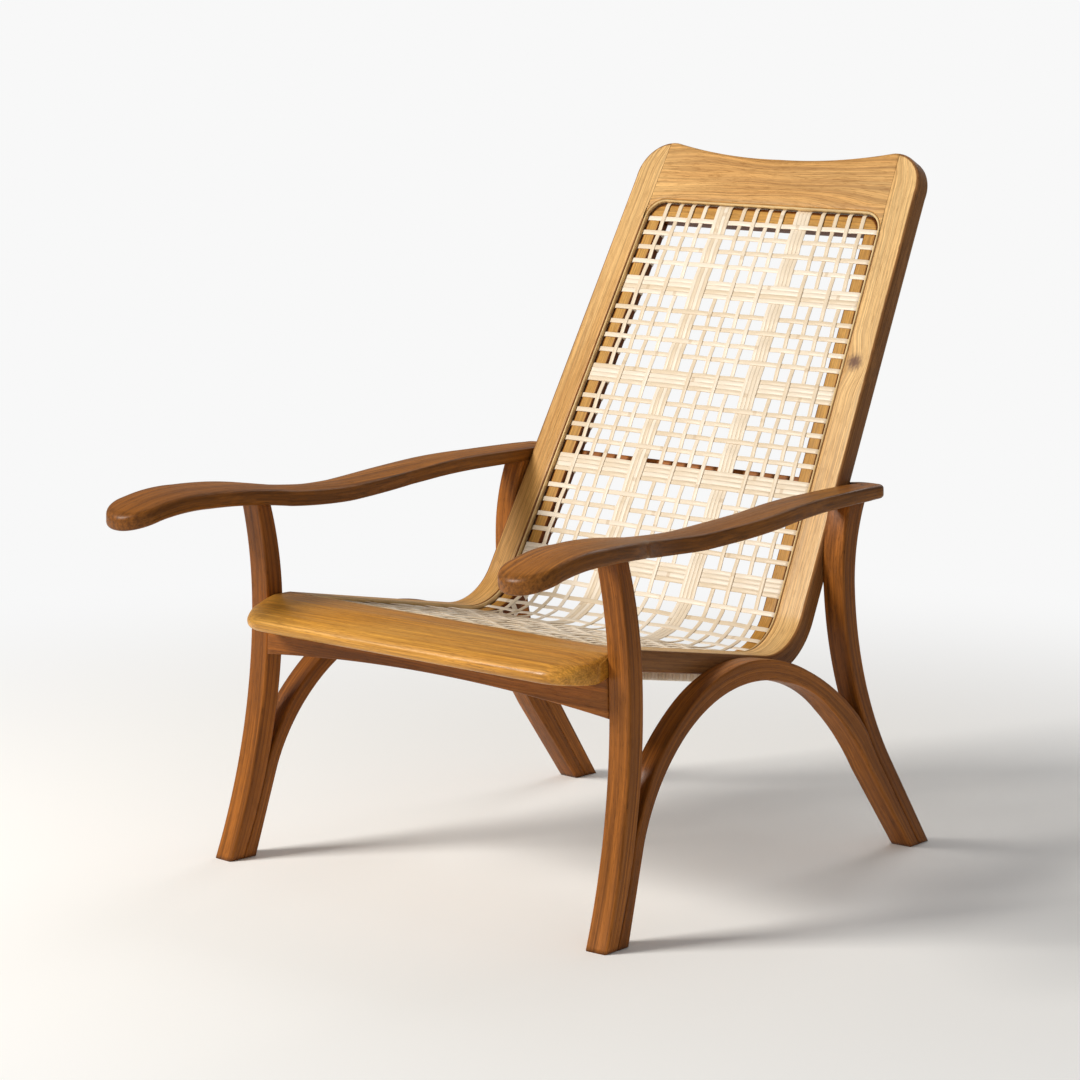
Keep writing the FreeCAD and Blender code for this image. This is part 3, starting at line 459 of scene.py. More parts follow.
class Nodes:
    """Adds nodes to a material's or a group's tree and joins them."""

    def __init__(self, tree: bpy.types.NodeTree) -> None:
        """Work on one tree."""
        self.tree = tree

    def add(self, kind: str, **values: object) -> bpy.types.Node:
        """A new node with its properties set."""
        node = self.tree.nodes.new(kind)
        for key, value in values.items():
            setattr(node, key, value)
        return node

    def link(self, source: object, target: bpy.types.NodeSocket) -> None:
        """Join an output to an input, or set the input to a plain value."""
        if isinstance(source, bpy.types.NodeSocket):
            self.tree.links.new(source, target)
        else:
            target.default_value = source

    def worked(self, kind: str, operation: str, values: tuple) -> bpy.types.Node:
        """A node that works on its first inputs."""
        node = self.add(kind, operation=operation)
        for value, socket in zip(values, node.inputs):
            self.link(value, socket)
        return node

    def math(self, operation: str, *values: object) -> bpy.types.NodeSocket:
        """What an operation makes of plain numbers or outputs."""
        return self.worked("ShaderNodeMath", operation, values).outputs[0]

    def plus(self, first: object, second: object) -> bpy.types.NodeSocket:
        """Two numbers added."""
        return self.math("ADD", first, second)

    def less(self, first: object, second: object) -> bpy.types.NodeSocket:
        """The first number less the second."""
        return self.math("SUBTRACT", first, second)

    def times(self, first: object, second: object) -> bpy.types.NodeSocket:
        """Two numbers multiplied."""
        return self.math("MULTIPLY", first, second)

    def vector(self, operation: str, *values: object) -> bpy.types.NodeSocket:
        """What an operation makes of vectors."""
        node = self.worked("ShaderNodeVectorMath", operation, values)
        return node.outputs["Value" if operation in ("DISTANCE", "LENGTH") else "Vector"]

    def parts(self, vector: object) -> list:
        """A vector's three numbers."""
        node = self.add("ShaderNodeSeparateXYZ")
        self.link(vector, node.inputs[0])
        return list(node.outputs)

    def noise(self, place: object, stretch: tuple, detail: float) -> bpy.types.NodeSocket:
        """Noise of 0 to 1 about a place, whose three distances are first multiplied by the stretch."""
        node = self.add("ShaderNodeTexNoise")
        self.link(self.vector("MULTIPLY", place, stretch), node.inputs["Vector"])
        self.link(1.0, node.inputs["Scale"])
        self.link(detail, node.inputs["Detail"])
        return node.outputs["Fac"]

    def between(self, value: object, low: float, high: float, first: float = 0.0,
                last: float = 1.0) -> bpy.types.NodeSocket:
        """A value carried smoothly from one range into another."""
        node = self.add("ShaderNodeMapRange", interpolation_type="SMOOTHSTEP")
        labels = ("Value", "From Min", "From Max", "To Min", "To Max")
        for label, number in zip(labels, (value, low, high, first, last)):
            self.link(number, node.inputs[label])
        return node.outputs["Result"]

    def mix(self, share: object, first: object, second: object, blend: str = "MIX") -> bpy.types.NodeSocket:
        """Two colours mixed."""
        node = self.add("ShaderNodeMix", data_type="RGBA", blend_type=blend)
        self.link(share, node.inputs["Factor"])
        self.link(first, node.inputs[6])
        self.link(second, node.inputs[7])
        return node.outputs[2]

    def blend(self, share: object, first: bpy.types.Node, second: bpy.types.Node,
              target: bpy.types.NodeSocket) -> None:
        """Two shaders mixed into an output."""
        node = self.add("ShaderNodeMixShader")
        for source, socket in zip((share, first.outputs[0], second.outputs[0]), node.inputs):
            self.link(source, socket)
        self.link(node.outputs[0], target)

    def attribute(self, name: str, kind: str) -> bpy.types.NodeSocket:
        """What a piece's own attribute says."""
        return self.add("ShaderNodeAttribute", attribute_name=name).outputs[kind]

    def group(self, name: str, build: Callable[[], bpy.types.NodeTree],
              fed: dict[str, object]) -> bpy.types.Node:
        """A shared group, built the first time it is asked for, with its inputs fed by name."""
        node = self.add("ShaderNodeGroup", node_tree=bpy.data.node_groups.get(name) or build())
        for label, source in fed.items():
            self.link(source, node.inputs[label])
        return node


def new_group(name: str, vectors: tuple, values: tuple) -> tuple[bpy.types.NodeTree, dict, dict]:
    """An empty shader group that takes three shades and gives a colour, a roughness and a height.

    Args:
        name: the group's name.
        vectors: names of the vectors that it also takes.
        values: names of the plain numbers that it also takes.

    Returns:
        The tree, its inputs by name and the output node's sockets by name.
    """
    tree = bpy.data.node_groups.new(name, "ShaderNodeTree")
    for kind, labels in (("Vector", vectors), ("Color", SHADES), ("Float", values)):
        for label in labels:
            tree.interface.new_socket(label, in_out="INPUT", socket_type=f"NodeSocket{kind}")
    for label, kind in (("Color", "Color"), ("Roughness", "Float"), ("Height", "Float")):
        tree.interface.new_socket(label, in_out="OUTPUT", socket_type=f"NodeSocket{kind}")
    given = tree.nodes.new("NodeGroupInput").outputs
    out = tree.nodes.new("NodeGroupOutput").inputs
    return tree, {socket.name: socket for socket in given}, {socket.name: socket for socket in out}


def timber_group() -> bpy.types.NodeTree:
    """Sawn timber: rings and drawn-out streaks that wander, open pores, a knot, painted shade on rounded
    edges and sides, and a darker foot.

    Rings are a sine of the distance across, shifted by slow noise. Lines, streaks and pores are noise
    drawn out along the grain. A knot darkens round one place and pushes the rings aside. Rounded edges
    and sides are darkened as painted shade, and the wood darkens towards the floor.
    """
    tree, given, out = new_group("timber", ("Grain", "Place", "Knot Place"),
                                 ("Edge", "Ring Width", "Figure", "Wander", "Rim", "Knot Size"))
    work = Nodes(tree)
    grain = given["Grain"]
    away = work.vector("DISTANCE", given["Place"], given["Knot Place"])
    away = work.math("DIVIDE", away, given["Knot Size"])
    ragged = work.plus(away, work.times(work.noise(grain, (220.0, 220.0, 220.0), 2.0), 0.9))
    knot = work.between(ragged, 0.7, 1.9, 1.0, 0.0)
    round_knot = work.between(away, 0.6, 4.0, 1.0, 0.0)

    slow = work.less(work.noise(grain, (2.2, 9.0, 9.0), 2.0), 0.5)
    sideways = work.add("ShaderNodeCombineXYZ")
    work.link(work.plus(work.times(slow, given["Wander"]), work.times(round_knot, 0.010)), sideways.inputs[1])
    bent = work.vector("ADD", grain, sideways.outputs[0])
    _, across, deep = work.parts(bent)
    rings = work.math("DIVIDE", work.plus(across, work.times(deep, 0.5)), given["Ring Width"])
    ring = work.math("MULTIPLY_ADD", work.math("SINE", work.times(rings, 2.0 * math.pi)), 0.5, 0.5)
    lines = work.between(work.noise(bent, (2.6, 190.0, 190.0), 4.0), 0.36, 0.68)
    late = work.plus(work.times(work.math("POWER", ring, 1.6), 0.35), work.times(lines, 0.65))

    streak = work.noise(bent, (7.0, 480.0, 480.0), 3.0)
    pores = work.between(work.noise(bent, (55.0, 1700.0, 1700.0), 1.0), 0.60, 0.68)
    patch = work.noise(bent, (1.7, 11.0, 11.0), 2.0)

    body = work.mix(work.between(patch, 0.32, 0.68), given["Ground"], given["Pale"])
    body = work.mix(work.times(late, given["Figure"]), body, given["Dark"])
    streaks = work.between(streak, 0.32, 0.68, 0.74, 1.12)
    grey = work.add("ShaderNodeCombineColor")
    for socket in grey.inputs:
        work.link(streaks, socket)
    body = work.mix(1.0, body, grey.outputs[0], "MULTIPLY")
    body = work.mix(work.times(pores, 0.45), body, given["Dark"])
    body = work.mix(work.times(knot, 0.88), body, linear(KNOT_BROWN))
    # Painted shade: rounded edges and sides are multiplied towards the dark shade, by the edge mask times the
    # finish's share
    rim = work.mix(1.0, body, given["Dark"], "MULTIPLY")
    body = work.mix(work.times(given["Edge"], given["Rim"]), body, rim)
    # The lowest 1 to 7 mm darken towards a dark brown, most at the floor
    near_floor = work.between(work.parts(given["Place"])[2], 0.001, 0.007, 0.45, 0.0)
    work.link(work.mix(near_floor, body, linear(FOOT_BROWN)), out["Color"])
    rough = work.plus(work.times(pores, 0.14), work.between(streak, 0.3, 0.7, 0.38, 0.50))
    work.link(work.less(rough, work.times(given["Edge"], 0.05)), out["Roughness"])
    work.link(work.less(work.times(streak, 0.35), pores), out["Height"])
    return tree


def cane_group() -> bpy.types.NodeTree:
    """Split cane: each strand its own shade, fine fibres along it, and a darker joint now and then."""
    tree, given, out = new_group("split_cane", ("Grain",), ("Strand",))
    work = Nodes(tree)
    grain = given["Grain"]
    fibre = work.noise(grain, (14.0, 1500.0, 1.0), 2.0)
    cloud = work.noise(grain, (16.0, 60.0, 1.0), 2.0)
    beat = work.math("FRACT", work.math("DIVIDE", work.parts(grain)[0], 0.41))
    joint = work.between(work.math("ABSOLUTE", work.less(beat, 0.5)), 0.004, 0.010, 1.0, 0.0)
    ripe = work.between(work.plus(given["Strand"], work.times(cloud, 0.6)), 0.35, 1.15)
    body = work.mix(ripe, given["Pale"], given["Ground"])
    body = work.mix(work.between(fibre, 0.52, 0.80, 0.0, 0.28), body, given["Dark"])
    work.link(work.mix(work.times(joint, 0.45), body, given["Dark"]), out["Color"])
    work.link(work.between(fibre, 0.3, 0.8, 0.30, 0.46), out["Roughness"])
    work.link(work.less(0.0, fibre), out["Height"])
    return tree


def shades(finish: "TimberFinish | CaneFinish") -> dict[str, tuple]:
    """A finish's three shades, by the names that its group takes them by."""
    return dict(zip(SHADES, map(linear, (finish.pale, finish.ground, finish.dark))))


@dataclass(frozen=True)
class TimberFinish:
    """Oiled timber.

    Attributes:
        name: the material's name.
        slot: the record's material slot of the pieces that wear it; not used.
        pale: colour of the early wood.
        ground: the common colour.
        dark: colour of the rings and pores, and what the painted shade on edges and sides multiplies by.
        ring_width: from ring to ring.
        figure: how strongly the rings show, 0 to 1.
        wander: how far the rings stray from straight.
        gloss: weight of the oil's clear film.
        rim: how far rounded edges and sides are darkened as painted shade, 0 to 1.
        knot_place: where a knot sits, in millimetres in the model; far under the floor for none.
        knot_size: its radius.
        relief: height of the streaks and pores, in metres.
    """

    name: str
    slot: str
    pale: Colour
    ground: Colour
    dark: Colour
    ring_width: float = 9.0
    figure: float = 0.5
    wander: float = 16.0
    gloss: float = 0.05
    rim: float = 0.0
    knot_place: tuple[float, float, float] = (0.0, 0.0, -9000.0)
    knot_size: float = 7.0
    relief: float = 0.00012

    def material(self) -> bpy.types.Material:
        """The material, with the timber group feeding the shader."""
        material, work, shader = new_material(self.name)
        fed = {
            "Grain": work.attribute("grain", "Vector"),
            "Edge": work.attribute("edge", "Fac"),
            "Place": work.add("ShaderNodeTexCoord").outputs["Object"],
            "Ring Width": self.ring_width * MM,
            "Figure": self.figure,
            "Wander": self.wander * MM,
            "Rim": self.rim,
            "Knot Place": [number * MM for number in self.knot_place],
            "Knot Size": self.knot_size * MM,
        }
        group = work.group("timber", timber_group, fed | shades(self))
        dress_shader(work, shader, group, self.relief, self.gloss)
        return material


@dataclass(frozen=True)
class CaneFinish:
    """Split and scraped cane with its natural gloss.

    Attributes:
        name: the material's name.
        slot: the record's material slot of the pieces that wear it; not used.
        pale: colour of the freshest strands.
        ground: colour of the riper ones.
        dark: colour of the fibres and joints.
        gloss: weight of the clear film.
        relief: height of the fibres, in metres.
    """

    name: str
    slot: str
    pale: Colour
    ground: Colour
    dark: Colour
    gloss: float
    relief: float = 0.00010

    def material(self) -> bpy.types.Material:
        """The material, with the cane group feeding the shader."""
        material, work, shader = new_material(self.name)
        fed = {"Grain": work.attribute("grain", "Vector"), "Strand": work.attribute("strand", "Fac")}
        group = work.group("split_cane", cane_group, fed | shades(self))
        dress_shader(work, shader, group, self.relief, self.gloss)
        return material


def new_material(name: str) -> tuple[bpy.types.Material, Nodes, bpy.types.Node]:
    """A material with nothing but its shader: the material, its nodes and the shader."""
    material = bpy.data.materials.new(name)
    material.use_nodes = True
    return material, Nodes(material.node_tree), material.node_tree.nodes["Principled BSDF"]


def dress_shader(work: Nodes, shader: bpy.types.Node, group: bpy.types.Node, relief: float,
                 gloss: float) -> None:
    """Feed a shader from a finish group.

    Args:
        work: the material's nodes.
        shader: the shader to feed.
        group: the node that gives colour, roughness and height.
        relief: height of the relief in metres.
        gloss: weight of the clear film on top.
    """
    work.link(group.outputs["Color"], shader.inputs["Base Color"])
    work.link(group.outputs["Roughness"], shader.inputs["Roughness"])
    bump = work.add("ShaderNodeBump")
    bump.inputs["Distance"].default_value = relief
    bump.inputs["Strength"].default_value = 1.0
    work.link(group.outputs["Height"], bump.inputs["Height"])
    work.link(bump.outputs["Normal"], shader.inputs["Normal"])
    shader.inputs["Specular IOR Level"].default_value = 0.14
    shader.inputs["Coat Weight"].default_value = gloss
    shader.inputs["Coat Roughness"].default_value = 0.22


class Finish(Enum):
    """The finishes of the chair, by the part that wears them."""

    # FRAME, ARM and BAR give a rim share, which darkens their rounded edges and sides as painted shade
    FRAME = TimberFinish("golden_teak", "frame_teak", (240, 198, 134), (210, 158, 88), (134, 82, 32),
                         11.0, 0.34, 14.0, 0.10, 0.78, (240.0, 325.5, 673.0), 12.0)
    CREST = TimberFinish("figured_teak", "frame_teak", (236, 192, 126), (210, 158, 92), (138, 84, 38),
                         10.0, 0.38, 70.0, 0.08)
    BOARD = TimberFinish("amber_teak", "board_teak", (228, 168, 74), (200, 134, 44), (122, 68, 16),
                         13.0, 0.40, 22.0, 0.26)
    ARM = TimberFinish("brown_teak", "arm_teak", (190, 122, 50), (154, 94, 34), (64, 32, 8),
                       9.0, 0.54, 34.0, 0.08, 0.34)
    LEG = TimberFinish("russet_teak", "leg_teak", (180, 110, 44), (144, 84, 28), (62, 30, 8),
                       9.0, 0.54, 16.0, 0.06)
    BAR = TimberFinish("plain_teak", "bar_wood", (214, 164, 86), (192, 138, 62), (126, 76, 26),
                       9.0, 0.34, 12.0, 0.0, 0.92)
    BEAD = TimberFinish("pale_strip", "bead_cane", (236, 206, 152), (216, 180, 122), (170, 126, 74),
                        5.0, 0.2, 4.0, 0.10)
    PEG = TimberFinish("peg_wood", "dowel_wood", (190, 150, 100), (170, 128, 80), (120, 84, 48),
                       3.0, 0.3, 4.0, 0.0)
    CANE = CaneFinish("scraped_cane", "cane", (236, 223, 205), (222, 204, 178), (188, 160, 122), 0.12)

    def material(self) -> bpy.types.Material:
        """The finish's material, built the first time it is used."""
        return bpy.data.materials.get(self.value.name) or self.value.material()


def add_object(name: str, data: bpy.types.ID) -> bpy.types.Object:
    """Put new data into the scene as an object."""
    made = bpy.data.objects.new(name, data)
    bpy.context.scene.collection.objects.link(made)
    return made


def make_piece(name: str, shape: Shape, finish: Finish, node: str) -> None:
    """Put a placed shape into the scene as one piece of the chair.

    Args:
        name: the piece's name.
        shape: its mesh, in metres in the model.
        finish: what it is finished with.
        node: the node of the model that it stands for.
    """
    mesh = bpy.data.meshes.new(name)
    mesh.from_pydata(shape.points.tolist(), [], shape.faces.tolist())
    grain = mesh.attributes.new("grain", "FLOAT_VECTOR", "POINT")
    grain.data.foreach_set("vector", (shape.grain * MM).astype(np.float32).ravel())
    for label, values in (("edge", shape.edge), ("strand", shape.strand)):
        mesh.attributes.new(label, "FLOAT", "POINT").data.foreach_set("value", values.astype(np.float32))
    mesh.shade_smooth()
    mesh.materials.append(finish.material())
    piece = add_object(name, mesh)
    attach(piece, "root")
    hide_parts(node)
    LOG.info("%s: %d faces", name, len(shape.faces))


class Side(Enum):
    """The chair's sides, as its sitter names them, and the way out to each along X."""

    LEFT = 1
    RIGHT = -1

    @property
    def label(self) -> str:
        """The side's name as the model's nodes use it."""
        return self.name.lower()


@dataclass(frozen=True)
class Stance:
    """How the two side frames stand: toed in and leaning in, their feet on the floor.

    Attributes:
        half_width: from the chair's middle to the legs' middle plane, at the front foot.
        front_y: the front foot's front edge, in the model.
        toe: how far each side frame turns inwards towards the rear.
        lean: how far it leans inwards.
        post_width: thickness of the legs and arches.
    """

    half_width: float = 337.0
    front_y: float = -324.0
    toe: float = 2.45
    lean: float = 2.2
    post_width: float = 34.0

    def half_width_at(self, offset: Points, y: Points, height: Points) -> Points:
        """Distance from the middle of the plane at an offset out from the legs' middle plane.

        It is the foot's half width plus the offset, less the toe-in times y, less the lean times the height.
        """
        toe_cosine, toe_sine = turned(self.toe)
        lean_cosine, lean_sine = turned(self.lean)
        level = self.half_width + offset / (toe_cosine * lean_cosine)
        return level - toe_sine / toe_cosine * y - lean_sine / (lean_cosine * toe_cosine) * height

    def on_side(self, side: Side, out: Points, y: Points, height: Points) -> Points:
        """Points of one side frame, from its own directions: leaned over, turned and moved to its foot."""
        toe_cosine, toe_sine = turned(self.toe)
        lean_cosine, lean_sine = turned(self.lean)
        outwards = out * lean_cosine - height * lean_sine
        up = out * lean_sine + height * lean_cosine
        x = outwards * toe_cosine - y * toe_sine
        back = outwards * toe_sine + y * toe_cosine
        return np.column_stack([side.value * (self.half_width + x), self.front_y + back, up])

    def standing(self, side: Side) -> Placing:
        """The placing of a leg or arch: y, height and distance out, with the foot cut level."""
        lean_cosine, lean_sine = turned(self.lean)

        def placing(y: Points, height: Points, out: Points) -> Points:
            """Carry points of the side view to their place."""
            cut = out * lean_sine / lean_cosine * np.clip(1.0 - height / 100.0, 0.0, 1.0)
            return self.on_side(side, out, y, height - cut)

        return placing


@dataclass(frozen=True)
class SideFrame:
    """One side of the chair: front leg, rear leg, the arch between them and the armrest on top.

    Attributes:
        stance: how the two sides stand.
        side: which side this is.
        head_height: top of the legs, inside the armrest.
        rear_foot: front edge of the rear foot, as y and height.
        rear_shin: top of its straight shin.
        arm_tip_y: front tip of the armrest.
        arm_length: from its tip to its rear end.
        arm_height: height of its top where it doesn't dip.
        arm_sway: the dip of its top, of which arm_top takes shares.
        arm_front_depth: how thick it is at the tip.
        arm_rear_depth: how thick it is at the rear end.
        paddle_width: width of its front.
        stance_depth: from the front foot's front to the rear foot's rear.
        arch_height: crown of the arch's outer edge.
        arch_inner_height: crown of its inner edge.
        leg_rounding: radius of the legs' edges.
        arch_rounding: radius of the arch's edges.
    """

    stance: Stance
    side: Side
    head_height: float = 500.0
    rear_foot: tuple[float, float] = (704.5, 0.0)
    rear_shin: tuple[float, float] = (611.5, 132.0)
    arm_tip_y: float = -171.0
    arm_length: float = 790.0
    arm_height: float = 517.5
    arm_sway: float = 17.0
    arm_front_depth: float = 23.0
    arm_rear_depth: float = 19.0
    paddle_width: float = 87.0
    stance_depth: float = 728.5
    arch_height: float = 319.0
    arch_inner_height: float = 290.5
    leg_rounding: float = 3.2
    arch_rounding: float = 2.6

    def front_leg_edges(self) -> tuple[Points, Points]:
        """Front and rear edge of the front leg from the foot up, bowed back at the knee."""
        front = bow_through((0.0, 0.0), (61.0, 330.0), (38.5, self.head_height))
        return front, bow_through((24.0, 0.0), (90.0, 330.0), (62.5, self.head_height))

    def rear_leg_edges(self) -> tuple[Points, Points]:
        """Front and rear edge of the rear leg: a straight swept shin, then forward at the knee."""
        front = bow_through(self.rear_shin, (529.0, 400.0), (548.0, self.head_height))
        behind = bow_through((638.5, 132.0), (558.5, 385.25), (588.0, self.head_height))
        return joined([self.rear_foot], front), joined([(self.stance_depth, 0.0)], behind)

    def arch_edges(self) -> tuple[Points, Points]:
        """Outer and inner edge of the arch from the front foot to the rear one, cut back by both legs."""
        outer_shares = [(0.085, 0.37), (0.12, 0.55), (0.15, 0.67), (0.21, 0.805), (0.27, 0.9), (0.36, 0.98),
                        (0.44, 1.0), (0.52, 0.975), (0.61, 0.9), (0.71, 0.765), (0.77, 0.65), (0.805, 0.55)]
        inner_shares = [(0.115, 0.42), (0.155, 0.62), (0.21, 0.78), (0.28, 0.905), (0.36, 0.98), (0.45, 1.0),
                        (0.54, 0.96), (0.62, 0.885), (0.69, 0.76), (0.75, 0.615), (0.805, 0.435)]
        crown = [(share * self.stance_depth, level * self.arch_height) for share, level in outer_shares]
        inside = [(share * self.stance_depth, level * self.arch_inner_height)
                  for share, level in inner_shares]
        rise = joined([(12.0, 0.0), crown[0]], arcs_through(crown + [self.rear_shin]), [self.rear_foot])
        outer = spread(rise, 400)
        _, behind_front = self.front_leg_edges()
        before_rear, _ = self.rear_leg_edges()
        # Each leg limits only the stretch near it: elsewhere its limit is moved out of the way
        aside = 400.0
        front_limit = np.interp(outer[:, 1], behind_front[:, 1], behind_front[:, 0])
        outer[:, 0] = np.maximum(outer[:, 0], front_limit - aside * (outer[:, 0] > 300.0))
        rear_limit = np.interp(outer[:, 1], before_rear[:, 1], before_rear[:, 0])
        outer[:, 0] = np.minimum(outer[:, 0], rear_limit + aside * (outer[:, 0] < 400.0))
        return outer, joined([(46.5, 0.0)], arcs_through(inside), [(683.0, 0.0)])

    def arm_top(self, y: Points) -> Points:
        """Height of the armrest's top at a depth: the arm height less the sway's share there."""
        shares = [(0.0, 1.26), (0.07, 0.32), (0.165, 0.0), (0.26, 0.18), (0.335, 0.62), (0.405, 0.88),
                  (0.48, 0.97), (0.595, 0.67), (0.7, 0.28), (0.76, 0.13), (0.825, 0.08), (0.91, 0.06),
                  (1.0, 0.08)]
        line = arcs_through([(self.arm_tip_y + share * self.arm_length,
                              self.arm_height - drop * self.arm_sway) for share, drop in shares])
        return np.interp(y, line[:, 0], line[:, 1])

    def arm_edges(self) -> tuple[Points, Points, Points]:
        """Outer edge, inner edge and rounded tip of the armrest from above, as distance out and y."""
        outer_shares = [(0.0, 0.5), (0.015, 0.85), (0.06, 0.985), (0.14, 1.0), (0.22, 0.955), (0.275, 0.85),
                        (0.315, 0.665), (0.36, 0.55), (0.42, 0.515), (0.475, 0.575), (0.55, 0.655),
                        (0.62, 0.71), (0.68, 0.71), (0.75, 0.665), (0.81, 0.61), (0.915, 0.57),
                        (0.975, 0.545), (0.995, 0.49), (1.0, 0.36)]
        inner_shares = [(0.0, 0.5), (0.015, 0.15), (0.06, 0.015), (0.105, -0.01), (0.165, -0.03),
                        (0.4, -0.13), (0.635, 0.0)]
        heel_shares = [(0.9785, -0.17), (0.99, -0.17), (0.995, -0.15), (1.0, -0.06)]

        def in_plan(shares: list) -> list:
            """Points seen from above, from shares of the length and of the paddle's width."""
            return [(width * self.paddle_width - self.stance.post_width / 2.0,
                     self.arm_tip_y + share * self.arm_length) for share, width in shares]

        outer = arcs_through(in_plan(outer_shares))
        inner = joined(arcs_through(in_plan(inner_shares)), in_plan([(0.9785, 0.0)]))
        heel = joined(in_plan(heel_shares[:1]), arcs_through(in_plan(heel_shares[1:])))
        tip = joined(spread(outer, 30, 0.0, 22.0)[::-1], spread(inner, 30, 0.0, 22.0))
        inner = np.vstack([spread(inner, 140, 22.0), spread(heel, 10)])
        return spread(outer, 150, 22.0), inner, spread(tip, 13)[1:-1]

    def make(self, name: str, shape: Shape, finish: Finish) -> None:
        """Make one piece of this side, which stands for the node of the same name."""
        node = f"{self.side.label}_{name}"
        make_piece(f"{node}_wood", shape, finish, node)

    def build(self) -> None:
        """Make the four pieces of this side."""
        half = self.stance.post_width / 2.0
        shift = 400.0 if self.side is Side.LEFT else 2600.0
        place = self.stance.standing(self.side)
        levels = np.linspace(0.0, self.head_height, 96)
        legs = (("front_leg", self.front_leg_edges(), shift),
                ("rear_leg", self.rear_leg_edges(), shift + 700.0))
        for name, edges, cut in legs:
            front, behind = (at_levels(edge, levels) for edge in edges)
            leg = Slab(front, behind, -half, half, self.leg_rounding, bent=True, across=4)
            self.make(name, leg.shape(cut).placed(place), Finish.LEG)
        outer, inner = (spread(edge, 200) for edge in self.arch_edges())
        arch = Slab(outer, inner, -half, half, self.arch_rounding, bent=True, across=4)
        self.make("arch", arch.shape(shift + 1500.0).placed(place), Finish.LEG)
        self.build_arm(shift + 3100.0)

    def build_arm(self, shift: float) -> None:
        """Make the armrest: its plan carried down by a depth that thins to the rear."""
        outer, inner, tip = self.arm_edges()
        arm = Slab(outer, inner, 0.0, self.arm_front_depth, start=tip, across=11, lay=90.0, steps=7)
        along = arm.loop()[:, 1]
        # The edges' radius eases from the paddle's to the neck's, and on to the rear end's
        to_neck = smooth_step((along + 10.0) / 110.0)
        to_rear = smooth_step((along - 575.0) / 35.0)
        arm.rounding = 7.0 - 3.4 * to_neck + 2.6 * to_rear
        neck = smooth_step((outer[:, 1] - 20.0) / 110.0) * smooth_step((420.0 - outer[:, 1]) / 120.0)
        arm.crown = 1.0 + 2.2 * neck

        def place(out: Points, y: Points, level: Points) -> Points:
            """Carry points of the plan to their place, under the swayed top."""
            share = (y - self.arm_tip_y) / self.arm_length
            depth = self.arm_front_depth + share * (self.arm_rear_depth - self.arm_front_depth)
            height = self.arm_top(y) - depth * (1.0 - level / self.arm_front_depth)
            return self.stance.on_side(self.side, out, y, height)

        self.make("armrest", arm.shape(shift).placed(place), Finish.ARM)


